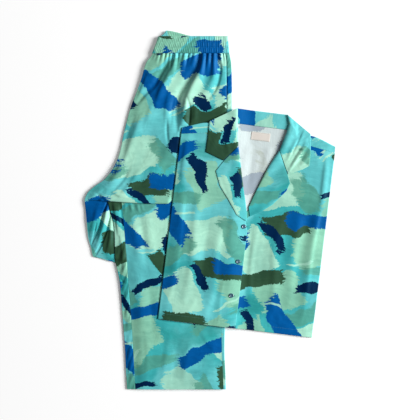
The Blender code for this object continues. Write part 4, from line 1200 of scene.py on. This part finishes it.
class Nodes:
    """One material's nodes: each call adds a node, links or sets its inputs and returns its output."""

    def __init__(self, name):
        self.material = bpy.data.materials.new(name)
        self.material.use_nodes = True
        self.tree = self.material.node_tree
        self.shader = self.tree.nodes["Principled BSDF"]

    def feed(self, socket, value):
        if isinstance(value, bpy.types.NodeSocket):
            self.tree.links.new(value, socket)
        else:
            socket.default_value = value

    def add(self, kind, inputs, output=0, **settings):
        node = self.tree.nodes.new(kind)
        for key, value in settings.items():
            setattr(node, key, value)
        for key, value in inputs.items():
            self.feed(node.inputs[key], value)
        return node.outputs[output]

    def cloth(self):
        """The place on the flat cloth, in metres."""
        return self.add("ShaderNodeUVMap", {}, uv_map="cloth")

    def place(self, coords, scale, turn=0.0, **settings):
        inputs = {"Vector": coords, "Rotation": (0.0, 0.0, math.radians(turn)), "Scale": (*scale, 1.0)}
        return self.add("ShaderNodeMapping", inputs, **settings)

    def noise(self, coords, scale, detail=2.0, roughness=0.5, distortion=0.0, output="Fac"):
        inputs = {"Vector": coords, "Scale": scale, "Detail": detail, "Roughness": roughness}
        inputs["Distortion"] = distortion
        return self.add("ShaderNodeTexNoise", inputs, output, noise_dimensions="2D")

    def calc(self, operation, *values):
        return self.add("ShaderNodeMath", dict(enumerate(values)), operation=operation)

    def step(self, value, low, high):
        inputs = {"Value": value, "From Min": low, "From Max": high}
        return self.add("ShaderNodeMapRange", inputs, interpolation_type="SMOOTHSTEP")

    def mix(self, share, first, second, blend_type="MIX"):
        inputs = {0: share, 6: first, 7: second}
        return self.add("ShaderNodeMix", inputs, 2, data_type="RGBA", blend_type=blend_type)

    def vector(self, operation, *values):
        return self.add("ShaderNodeVectorMath", dict(enumerate(values)), operation=operation)

    def split(self, value):
        """The first two parts of a vector."""
        node = self.tree.nodes.new("ShaderNodeSeparateXYZ")
        self.feed(node.inputs[0], value)
        return node.outputs[0], node.outputs[1]

    def shifted(self, coords, noise, reach):
        """Coordinates pushed about by a coloured noise."""
        centred = self.vector("SUBTRACT", noise, (0.5, 0.5, 0.5))
        return self.vector("MULTIPLY_ADD", centred, (reach,) * 3, coords)

    def bump(self, height, distance, strength, normal=None):
        inputs = {"Height": height, "Distance": distance, "Strength": strength}
        if normal is not None:
            inputs["Normal"] = normal
        return self.add("ShaderNodeBump", inputs)

    def shade(self, inputs):
        """Sets or links the shader's inputs, and returns the finished material."""
        for key, value in inputs.items():
            self.feed(self.shader.inputs[key], value)
        return self.material


def rgba(colour):
    return (*colour, 1.0)


# The print repeats over a rectangle of cloth. A brush mark's middle, length and width are on it, `turn`
# is the way it was painted in degrees, and `cover` how far it hides what lies under it.
REPEAT = (430.0, 560.0)
MARKS = listed(
    "colour x y length width turn cover",
    ("teal", 60, 120, 160, 64, 30, 0.6), ("wash", 300, 300, 170, 110, -52, 0.8),
    ("teal", 150, 460, 150, 58, 8, 0.6), ("wash", 400, 520, 150, 80, 30, 0.8),
    ("pale", 170, 60, 130, 88, -52, 1.0), ("mint", 335, 95, 120, 96, 30, 1.0),
    ("mint", 40, 250, 120, 80, -52, 0.95), ("pale", 215, 225, 125, 84, 8, 1.0),
    ("mint", 385, 215, 96, 70, 8, 0.9), ("pale", 350, 400, 130, 92, 30, 1.0),
    ("mint", 205, 370, 110, 80, -52, 0.95), ("pale", 60, 400, 108, 76, 8, 1.0),
    ("mint", 250, 510, 120, 90, 30, 1.0), ("pale", 20, 520, 84, 66, -52, 0.9),
    ("sage", 120, 170, 150, 34, 30, 0.85), ("sage", 370, 30, 120, 30, 8, 0.8),
    ("sage", 290, 225, 90, 44, -52, 0.85), ("sage", 130, 330, 130, 30, 8, 0.85),
    ("sage", 310, 460, 120, 36, 30, 0.8), ("sage", 80, 500, 84, 40, -52, 0.8),
    ("moss", 255, 140, 120, 58, 8, 1.0), ("moss", 20, 330, 104, 60, 30, 1.0),
    ("moss", 395, 315, 90, 52, -52, 1.0), ("moss", 190, 545, 130, 48, 8, 1.0),
    ("royal", 80, 60, 160, 44, 30, 1.0), ("royal", 140, 250, 112, 46, -52, 1.0),
    ("royal", 330, 160, 150, 38, 8, 1.0), ("royal", 275, 420, 165, 46, -52, 1.0),
    ("royal", 95, 440, 150, 40, 30, 1.0), ("royal", 405, 470, 100, 50, 8, 1.0),
    ("navy", 215, 105, 90, 20, -52, 1.0), ("navy", 30, 190, 100, 22, -52, 1.0),
    ("navy", 350, 255, 84, 18, 30, 1.0), ("navy", 180, 400, 96, 24, -52, 1.0),
    ("navy", 340, 535, 90, 20, 8, 1.0), ("navy", 405, 375, 56, 26, -52, 1.0),
    ("pale", 300, 45, 60, 7, 30, 0.9), ("pale", 165, 290, 66, 6, 8, 0.85),
    ("pale", 60, 345, 44, 8, -52, 0.9), ("wash", 330, 345, 70, 9, 30, 0.9),
    ("pale", 235, 470, 50, 6, 8, 0.85),
)
TURNS = (30, 8, -52)
SOFT_EDGES = {"teal": 0.3, "wash": 0.25, "sage": 0.1}
END_TEAR = 17.0
SIDE_TEAR = 5.5


def painted_print(nodes, colours):
    """A brushed camouflage: a washed ground, then torn brush marks, one over the other."""
    cloth = nodes.cloth()
    slow = nodes.noise(cloth, 7.0, 2.0, output="Color")
    quick = nodes.noise(cloth, 30.0, 1.0, output="Color")
    bent = nodes.shifted(nodes.shifted(cloth, slow, 0.085), quick, 0.012)
    grain = nodes.noise(cloth, 210.0, 3.0, 0.65)
    speck = nodes.calc("SUBTRACT", grain, 0.5)
    tears = {}
    for turn in TURNS:
        bristles = nodes.noise(nodes.place(bent, (26.0, 210.0), turn), 1.0, 3.0, 0.6)
        streak = nodes.calc("MULTIPLY_ADD", speck, 0.5, nodes.calc("SUBTRACT", bristles, 0.5))
        side = nodes.calc("MULTIPLY_ADD", nodes.calc("SUBTRACT", bristles, 0.5), 0.5, speck)
        tears[turn] = nodes.add("ShaderNodeCombineXYZ", {0: streak, 1: side, 2: 0.0})

    def mask(mark):
        """1 on a mark and 0 off it."""
        half = (mark.length * MM / 2, mark.width * MM / 2)
        aside = nodes.vector("SUBTRACT", bent, (mark.x * MM, mark.y * MM, 0.0))
        repeat = [side * MM / 2 for side in REPEAT]
        wrapped = nodes.vector("WRAP", aside, (*repeat, 1.0), (-repeat[0], -repeat[1], -1.0))
        own = nodes.place(wrapped, half, mark.turn, vector_type="TEXTURE")
        reach = (2 * END_TEAR * MM / half[0], 2 * min(SIDE_TEAR / mark.width, 0.22) * 2, 0.0)
        torn = nodes.vector("MULTIPLY_ADD", tears[mark.turn], reach, nodes.vector("ABSOLUTE", own))
        along, across = nodes.split(torn)
        out = nodes.calc("SMOOTH_MAX", along, across, 0.35)
        soft = SOFT_EDGES.get(mark.colour, 0.0)
        return nodes.calc("MULTIPLY", nodes.step(out, 1.04 + soft, 0.99 - soft), mark.cover)

    washes = nodes.step(nodes.noise(bent, 6.0, 3.0, 0.55, 0.5), 0.36, 0.64)
    colour = nodes.mix(washes, rgba(colours.ground), rgba(colours.wash))
    for mark in MARKS:
        colour = nodes.mix(mask(mark), colour, rgba(getattr(colours, mark.colour)))
    brushed = nodes.noise(nodes.place(bent, (20.0, 130.0), TURNS[0]), 1.0, 3.0)
    mottled = nodes.calc("ADD", nodes.noise(cloth, 11.0, 3.0), nodes.calc("MULTIPLY", brushed, 0.5))
    tone = nodes.step(mottled, 0.45, 1.05)
    lighter = nodes.mix(1.0, colour, (1.16, 1.13, 1.12, 1.0), "MULTIPLY")
    darker = nodes.mix(1.0, colour, (0.80, 0.86, 0.87, 1.0), "MULTIPLY")
    return nodes.mix(tone, darker, lighter)


WEAVE_PITCH = 0.0004
WEAVE_HEIGHT = 0.00006


def woven_bump(nodes, crumple):
    """Fine satin weave over soft crumples, as a normal."""
    cloth = nodes.cloth()
    threads = 1.0 / WEAVE_PITCH
    warp = nodes.add("ShaderNodeTexWave", {"Vector": cloth, "Scale": threads / 20}, 1, bands_direction="X")
    weft = nodes.add("ShaderNodeTexWave", {"Vector": cloth, "Scale": threads / 60}, 1, bands_direction="Y")
    slubs = nodes.noise(nodes.place(cloth, (900.0, 60.0)), 1.0, 2.0)
    weave = nodes.calc("ADD", nodes.calc("MULTIPLY", warp, weft), slubs)
    soft = nodes.noise(cloth, 42.0, 2.5, 0.5, 0.6)
    crumpled = nodes.bump(soft, crumple, 0.5)
    return nodes.bump(weave, WEAVE_HEIGHT, 0.35, crumpled)


def satin(name, colour_of, crumple, roughness):
    """Printed satin: a soft sheen, with its gloss a little uneven."""
    nodes = Nodes(name)
    colour = colour_of(nodes, bpy.context.scene.pyjama_colours)
    gloss = nodes.noise(nodes.cloth(), 18.0, 3.0)
    low, high = roughness - 0.05, roughness + 0.07
    return nodes.shade({
        "Base Color": colour,
        "Roughness": nodes.calc("MULTIPLY_ADD", gloss, high - low, low),
        "Specular IOR Level": 0.2,
        "Specular Tint": rgba((0.22, 0.8, 0.86)),
        "Sheen Weight": 0.01,
        "Sheen Roughness": 0.4,
        "Normal": woven_bump(nodes, crumple),
    })


def wrong_side_print(nodes, colours):
    """The print seen faintly through the cloth's pale wrong side, with fine lines along the warp."""
    light = nodes.add("ShaderNodeRGBToBW", {"Color": painted_print(nodes, colours)})
    tint = nodes.mix(nodes.step(light, 0.09, 0.16), rgba(colours.lilac), rgba(colours.beige))
    veiled = nodes.mix(nodes.step(light, 0.22, 0.36), tint, rgba(colours.wrong_side))
    lines = nodes.noise(nodes.place(nodes.cloth(), (420.0, 14.0)), 1.0, 2.0)
    shaded = nodes.mix(0.12, veiled, rgba((0.3, 0.36, 0.38)))
    return nodes.mix(nodes.step(lines, 0.35, 0.75), shaded, veiled)


def label_weave(nodes, colours):
    """Plain woven ribbon, a little uneven."""
    dark = rgba([part * 0.9 for part in colours.label])
    return nodes.mix(nodes.noise(nodes.cloth(), 700.0, 2.0), dark, rgba(colours.label))


def polished(name):
    """Polished plastic, a little clear, with cloudy swirls inside."""
    nodes = Nodes(name)
    dark = bpy.context.scene.pyjama_colours.button
    light = [min(1.0, part * 2.2 + 0.03) for part in dark]
    coords = nodes.add("ShaderNodeTexCoord", {}, "Object")
    return nodes.shade({
        "Base Color": nodes.mix(nodes.noise(coords, 260.0, 2.0, 0.5, 1.5), rgba(dark), rgba(light)),
        "Roughness": 0.18,
        "Coat Weight": 1.0,
        "Coat Roughness": 0.08,
        "Normal": nodes.bump(nodes.noise(coords, 2600.0, 2.0), 0.00004, 0.2),
    })


def sewing_thread(name):
    """Twisted thread."""
    nodes = Nodes(name)
    light = bpy.context.scene.pyjama_colours.thread
    dark = [part * 0.7 for part in light]
    twist = nodes.noise(nodes.add("ShaderNodeTexCoord", {}, "Object"), 3000.0, 1.0)
    return nodes.shade({
        "Base Color": nodes.mix(twist, rgba(dark), rgba(light)),
        "Roughness": 0.5,
        "Normal": nodes.bump(twist, 0.00005, 0.4),
    })


# How each finish is made. A satin has its colour, how deep its soft crumples are and its roughness.
FINISHES = {
    "trouser satin": partial(satin, colour_of=painted_print, crumple=0.0012, roughness=0.44),
    "waistband satin": partial(satin, colour_of=painted_print, crumple=0.0003, roughness=0.44),
    "shirt satin": partial(satin, colour_of=painted_print, crumple=0.0010, roughness=0.44),
    "collar satin": partial(satin, colour_of=painted_print, crumple=0.0006, roughness=0.44),
    "wrong side": partial(satin, colour_of=wrong_side_print, crumple=0.0010, roughness=0.55),
    "label ribbon": partial(satin, colour_of=label_weave, crumple=0.0003, roughness=0.6),
    "button plastic": polished,
    "thread": sewing_thread,
}
made_finishes = {}


def finish(name):
    """A material by name, made once."""
    if name not in made_finishes:
        made_finishes[name] = FINISHES[name](name)
    return made_finishes[name]


# ---------------------------------------------------------------- buttons and stitching


def on_placket(u, v, above):
    """A point of the scene, `above` the right front near its opening."""
    x, y, z, _, _ = shirt_point(np.float64(u), np.float64(v), FRONT_TOP + placket_rise(u, v) + above)
    return Vector((float(x), float(y), float(z))) * MM + SHIFT


def button_seat(row):
    """Where a button lies, tilted to the placket under it."""
    around = ((-BUTTON_RADIUS, 0), (BUTTON_RADIUS, 0), (0, -BUTTON_RADIUS), (0, BUTTON_RADIUS))
    left, right, low, high = (on_placket(row.u + du, row.v + dv, LAY_GAP) for du, dv in around)
    upward = (right - left).cross(high - low).normalized()
    return Matrix.Translation((left + right) / 2) @ upward.to_track_quat("Z", "Y").to_matrix().to_4x4()


# The section of a button from its middle out and back, as shares of its radius and its thickness
BUTTON_SECTION = (
    (0.0, 0.55), (0.55, 0.55), (0.64, 0.66), (0.72, 0.88), (0.80, 1.0), (0.90, 0.97),
    (0.97, 0.82), (1.0, 0.6), (0.98, 0.3), (0.9, 0.02), (0.0, 0.0),
)


def button_mesh(name):
    """A turned four-hole button with a dished face and a rounded rim."""
    turned = bmesh.new()
    places = [(r * BUTTON_RADIUS * MM, 0, z * BUTTON_THICK * MM) for r, z in BUTTON_SECTION]
    ring = [turned.verts.new(place) for place in places]
    edges = [turned.edges.new(pair) for pair in zip(ring, ring[1:])]
    bmesh.ops.spin(
        turned,
        geom=ring + edges,
        axis=(0, 0, 1),
        cent=(0, 0, 0),
        angle=2 * math.pi,
        steps=48,
        use_merge=True,
    )
    bmesh.ops.remove_doubles(turned, verts=turned.verts, dist=WELD)
    bmesh.ops.recalc_face_normals(turned, faces=turned.faces)
    mesh = bpy.data.meshes.new(name)
    turned.to_mesh(mesh)
    turned.free()
    return mesh


def hole_places():
    """The middles of a button's four holes."""
    for across in (-BUTTON_HOLE_SPACING, BUTTON_HOLE_SPACING):
        for up in (-BUTTON_HOLE_SPACING, BUTTON_HOLE_SPACING):
            yield Vector((across, up, 0)) * MM


def drilled(mesh):
    """The button with its four holes cut through it."""
    drills = bmesh.new()
    for spot in hole_places():
        bmesh.ops.create_cone(
            drills,
            cap_ends=True,
            segments=20,
            radius1=BUTTON_HOLE_RADIUS * MM,
            radius2=BUTTON_HOLE_RADIUS * MM,
            depth=6 * BUTTON_THICK * MM,
            matrix=Matrix.Translation(spot),
        )
    drill_mesh = bpy.data.meshes.new("drills")
    drills.to_mesh(drill_mesh)
    drills.free()
    drill, blank = placed("drills", drill_mesh), placed("blank", mesh)
    blank.modifiers.new("holes", "BOOLEAN").object = drill
    made = mesh_of(blank)
    bpy.data.objects.remove(drill)
    return made


def thread_piece(name, stitches, thickness, slot):
    """Short lengths of thread, each from one point to another, with rounded ends. `thickness` is from the
    thread's middle to its outside."""
    curve = bpy.data.curves.new(name, "CURVE")
    curve.dimensions = "3D"
    curve.bevel_depth = thickness * MM
    curve.bevel_resolution = 1
    curve.use_fill_caps = True
    for start, end in stitches:
        spline = curve.splines.new("POLY")
        spline.points.add(3)
        for point, share, swell in zip(spline.points, (0.0, 0.12, 0.88, 1.0), (0.45, 1.0, 1.0, 0.45)):
            point.co = (*start.lerp(end, share), 1.0)
            point.radius = swell
    mesh = mesh_of(placed(name, curve))
    bpy.data.curves.remove(curve)
    welded = bmesh.new()
    welded.from_mesh(mesh)
    bmesh.ops.remove_doubles(welded, verts=welded.verts, dist=WELD)
    bmesh.ops.recalc_face_normals(welded, faces=welded.faces)
    welded.to_mesh(mesh)
    welded.free()
    mesh.materials.clear()
    return add_piece(name, mesh, finish("thread"), slot)


# A row of stitches: it runs over a piece's surface between two places (s, t) on its grid
StitchRow = namedtuple("StitchRow", "surface s0 t0 s1 t1")


def row_of_stitches(row):
    """Stitches along a line on a surface, sunk a little into it."""
    pitch = bpy.context.scene.pyjama_sizes.stitch_length
    share = np.linspace(0, 1, 400)
    x, y, z, _, _ = row.surface(blend(row.s0, row.s1, share), blend(row.t0, row.t1, share))
    points = np.column_stack((x, y, z)) * MM + np.array(SHIFT)
    length = np.concatenate(([0.0], np.cumsum(np.linalg.norm(np.diff(points, axis=0), axis=1))))
    for k in range(int(length[-1] / pitch)):
        places = ((k + 0.1) * pitch, (k + 0.84) * pitch)
        yield [Vector([np.interp(place, length, points[:, axis]) for axis in range(3)]) for place in places]


def button_stitches():
    """Thread between each button's holes and down through them."""
    top = Vector((0, 0, 0.62 * BUTTON_THICK * MM))
    through = Vector((0, 0, -0.3 * MM))
    for row in BUTTONS:
        seat = button_seat(row)
        spots = list(hole_places())
        for first, second in ((0, 1), (2, 3)):
            for offset in (-0.25, 0.25):
                aside = Vector((offset * MM, 0, 0))
                yield seat @ (spots[first] + top + aside), seat @ (spots[second] + top + aside)
            for spot in (spots[first], spots[second]):
                yield seat @ (spot + top), seat @ (spot + through)


def buttonhole_stitches():
    """Close stitches along both sides of each buttonhole, where it runs on past its button."""
    for row in BUTTONS:
        for along in np.arange(BUTTON_RADIUS - 0.4, BUTTONHOLE_END, BUTTONHOLE_PITCH):
            for side in (-1, 1):
                inner, outer = row.v + side * BUTTONHOLE_SLOT, row.v + side * BUTTONHOLE_WIDTH
                yield on_placket(row.u + along, inner, 0.1), on_placket(row.u + along, outer, 0.1)
        for along in (BUTTONHOLE_END, BUTTONHOLE_END + BUTTONHOLE_PITCH):
            ends = (row.v - BUTTONHOLE_WIDTH, row.v + BUTTONHOLE_WIDTH)
            yield [on_placket(row.u + along, end, 0.15) for end in ends]


# ---------------------------------------------------------------- operators


class PYJAMA_OT_trousers(bpy.types.Operator):
    """Make the trousers' panels, folded in half lengthwise"""

    bl_idname = "pyjama.make_trousers"
    bl_label = "Make Trousers"

    def execute(self, context):
        look, under = ("trouser satin", "trouser_cloth"), ["hidden_leg"]
        cloth_piece("hidden_leg", (70, 110), hidden_leg, look, "trouser_under_layers", [], tube=True)
        cloth_piece("seat_back", (64, 110), seat_back, look, "trouser_back_seat", under, top=(0.04, 0.5))
        cloth_piece("seat_front", (168, 216), seat_front, look, "trouser_front_seat", ["seat_back"])
        cloth_piece("leg_back", (84, 190), leg_back, look, "trouser_back_leg", under, top=(0.02, 0.5))
        cloth_piece("leg_front", (100, 190), leg_front, look, "trouser_front_leg", ["leg_back"])
        cloth_piece("crotch_extension", (80, 130), crotch_extension, look, "trouser_crotch", under)
        return {"FINISHED"}


class PYJAMA_OT_waistband(bpy.types.Operator):
    """Make the waistband, gathered on three rows of elastic"""

    bl_idname = "pyjama.make_waistband"
    bl_label = "Make Waistband"

    def execute(self, context):
        look = ("waistband satin", "waistband_cloth")
        cloth_piece("band_back", (300, 30), band_back, look, "waistband_back", ["seat_back"])
        cloth_piece("band_front", (420, 56), band_front, look, "waistband_front", ["band_back"])
        return {"FINISHED"}


class PYJAMA_OT_shirt_body(bpy.types.Operator):
    """Make the shirt's fronts, its back and the layers folded behind it"""

    bl_idname = "pyjama.make_shirt_body"
    bl_label = "Make Shirt Body"

    def execute(self, context):
        look, inside = ("shirt satin", "shirt_cloth"), ("wrong side", "shirt_inside")
        under, back, leg = ["hidden_sides"], ["back_panel"], ["leg_front"]
        cloth_piece("hidden_sides", (110, 90), hidden_sides, look, "shirt_under_layers", leg, tube=True)
        cloth_piece("back_panel", (100, 124), back_panel, inside, "shirt_back", under)
        cloth_piece("left_front", (122, 190), left_front, look, "shirt_left_front", back)
        cloth_piece("right_front", (122, 190), right_front, look, "shirt_right_front", back)
        for hand, sign in (("right", -1), ("left", 1)):
            name, strip = f"back_shoulder_{hand}", partial(shoulder, sign)
            cloth_piece(name, (40, 30), strip, look, f"shirt_{name}", under, top=(0.5, 0.1))
        return {"FINISHED"}


class PYJAMA_OT_collar(bpy.types.Operator):
    """Make the collar, its stand and the two lapels"""

    bl_idname = "pyjama.make_collar"
    bl_label = "Make Collar"

    def execute(self, context):
        look, under = ("collar satin", "collar_cloth"), ["hidden_sides"]
        cloth_piece("neck_stand", (70, 40), neck_stand, look, "collar_stand", under, top=(0.5, 0.1))
        lapel_right = partial(flap, LAPEL_RIGHT, LAPEL_WALL, no_drop, LAPEL_CREASES)
        lapel_left = partial(flap, LAPEL_LEFT, LAPEL_WALL, no_drop, LAPEL_CREASES)
        collar_right = partial(flap, COLLAR_RIGHT, FALL_WALL, past_shoulder, RIGHT_FALL_CREASES)
        collar_left = partial(flap, COLLAR_LEFT, FALL_WALL, past_shoulder, LEFT_FALL_CREASES)
        for name, surface, node, below in (
            ("right_lapel", lapel_right, "lapel_right", "right_front"),
            ("left_lapel", lapel_left, "lapel_left", "left_front"),
            ("right_fall", collar_right, "collar_right", "right_front"),
            ("left_fall", collar_left, "collar_left", "left_front"),
        ):
            cloth_piece(name, (52, 96), surface, look, node, [below])
        return {"FINISHED"}


class PYJAMA_OT_label(bpy.types.Operator):
    """Make the blank label inside the back neck"""

    bl_idname = "pyjama.make_label"
    bl_label = "Make Label"

    def execute(self, context):
        look = ("label ribbon", "label")
        cloth_piece("blank_label", (50, 24), label_surface, look, "neck_label", ["back_panel"])
        return {"FINISHED"}


class PYJAMA_OT_buttons(bpy.types.Operator):
    """Make the three buttons and the thread that holds them"""

    bl_idname = "pyjama.make_buttons"
    bl_label = "Make Buttons"

    def execute(self, context):
        blank = drilled(button_mesh("button"))
        for number, row in enumerate(BUTTONS, 1):
            mesh = blank.copy()
            mesh.transform(button_seat(row))
            material = finish("button plastic")
            add_piece(f"placket_button_{number}", mesh, material, "button", [f"button_{number}"])
        thread_piece("button_thread", button_stitches(), BUTTON_THREAD, "button")
        return {"FINISHED"}


class PYJAMA_OT_stitching(bpy.types.Operator):
    """Sew the hems, the elastic channels and the label"""

    bl_idname = "pyjama.make_stitching"
    bl_label = "Make Stitching"

    def execute(self, context):
        hem_t = 1 - TROUSER_HEM_DEPTH / (HEM - LEG_START)
        shirt_t = float(np.interp(SHIRT_HEM_DEPTH / FRONT_LENGTH, FRONT_SHARES, FRONT_STOPS))
        rows = [
            StitchRow(leg_front, 0.005, hem_t, 0.995, hem_t),
            StitchRow(leg_back, 0.64, hem_t, 0.995, hem_t),
            StitchRow(right_front, 0.005, shirt_t, 0.89, shirt_t),
            StitchRow(left_front, 0.14, shirt_t, 0.89, shirt_t),
            StitchRow(label_surface, 0.03, 0.06, 0.97, 0.06),
            StitchRow(label_surface, 0.03, 0.94, 0.97, 0.94),
        ]
        for channel in range(1, BAND_CHANNELS):
            t = float(np.interp(channel / BAND_CHANNELS, (0, 1), BAND_T_STOPS[1:3]))
            rows.append(StitchRow(band_front, 0.02, t, 0.98, t))
        sewn = [stitch for row in rows for stitch in row_of_stitches(row)]
        thread_piece("stitching", sewn, SEAM_THREAD, "trouser_cloth")
        thread_piece("buttonholes", buttonhole_stitches(), BUTTONHOLE_THREAD, "shirt_cloth")
        return {"FINISHED"}


class PYJAMA_OT_stage(bpy.types.Operator):
    """Set up the white surface, the soft lights and the camera above"""

    bl_idname = "pyjama.make_stage"
    bl_label = "Make Stage"

    def execute(self, context):
        stage = context.scene.pyjama_stage
        floor_mesh = bpy.data.meshes.new("floor")
        sweep = bmesh.new()
        bmesh.ops.create_grid(sweep, x_segments=1, y_segments=1, size=FLOOR_REACH)
        sweep.to_mesh(floor_mesh)
        sweep.free()
        white = rgba((1.0, 1.0, 1.0))
        floor_mesh.materials.append(Nodes("floor").shade({
            "Base Color": rgba((0.9, 0.9, 0.9)),
            "Roughness": 0.9,
            "Specular IOR Level": 0.1,
            "Emission Color": white,
            "Emission Strength": stage.floor_glow,
        }))
        placed("floor", floor_mesh)

        light = bpy.data.lights.new("key", "AREA")
        light.shape = "DISK"
        light.size = KEY_SIZE
        light.energy = stage.key_power
        lamp = placed("key", light)
        lamp.location = KEY_PLACE
        lamp.rotation_euler = (-Vector(KEY_PLACE)).to_track_quat("-Z", "Y").to_euler()
        world = bpy.data.worlds.new("soft_sky")
        world.use_nodes = True
        background = world.node_tree.nodes["Background"]
        background.inputs["Color"].default_value = white
        background.inputs["Strength"].default_value = stage.sky_strength
        context.scene.world = world
        context.scene.view_settings.view_transform = "Standard"

        lens = bpy.data.cameras.new("camera")
        lens.lens = lens.sensor_width * stage.camera_height / stage.view_width
        camera = placed("camera", lens)
        camera.location = (0, 0, stage.camera_height)
        context.scene.camera = camera
        return {"FINISHED"}


OPERATORS = (
    PYJAMA_OT_stage,
    PYJAMA_OT_trousers,
    PYJAMA_OT_waistband,
    PYJAMA_OT_shirt_body,
    PYJAMA_OT_collar,
    PYJAMA_OT_label,
    PYJAMA_OT_buttons,
    PYJAMA_OT_stitching,
)


class PYJAMA_PT_panel(bpy.types.Panel):
    """Sizes, colours and steps of the pyjama set"""

    bl_label = "Pyjama Set"
    bl_idname = "PYJAMA_PT_panel"
    bl_space_type = "VIEW_3D"
    bl_region_type = "UI"
    bl_category = "Pyjama Set"

    def draw(self, context):
        scene = context.scene
        for group in (scene.pyjama_sizes, scene.pyjama_colours, scene.pyjama_stage):
            box = self.layout.box()
            for name in group.__annotations__:
                box.prop(group, name)
        for operator in OPERATORS:
            self.layout.operator(operator.bl_idname)


GROUPS = (
    ("pyjama_sizes", PyjamaSizes),
    ("pyjama_colours", PyjamaColours),
    ("pyjama_stage", PyjamaStage),
)


def register():
    for name, group in GROUPS:
        bpy.utils.register_class(group)
        setattr(bpy.types.Scene, name, PointerProperty(type=group))
    for thing in (*OPERATORS, PYJAMA_PT_panel):
        bpy.utils.register_class(thing)


def unregister():
    for thing in (PYJAMA_PT_panel, *reversed(OPERATORS)):
        bpy.utils.unregister_class(thing)
    for name, group in reversed(GROUPS):
        delattr(bpy.types.Scene, name)
        bpy.utils.unregister_class(group)


def main():
    register()
    bpy.ops.pyjama.make_stage()
    bpy.ops.pyjama.make_trousers()
    bpy.ops.pyjama.make_waistband()
    bpy.ops.pyjama.make_shirt_body()
    bpy.ops.pyjama.make_collar()
    bpy.ops.pyjama.make_label()
    bpy.ops.pyjama.make_buttons()
    bpy.ops.pyjama.make_stitching()


if __name__ == "__main__":
    main()
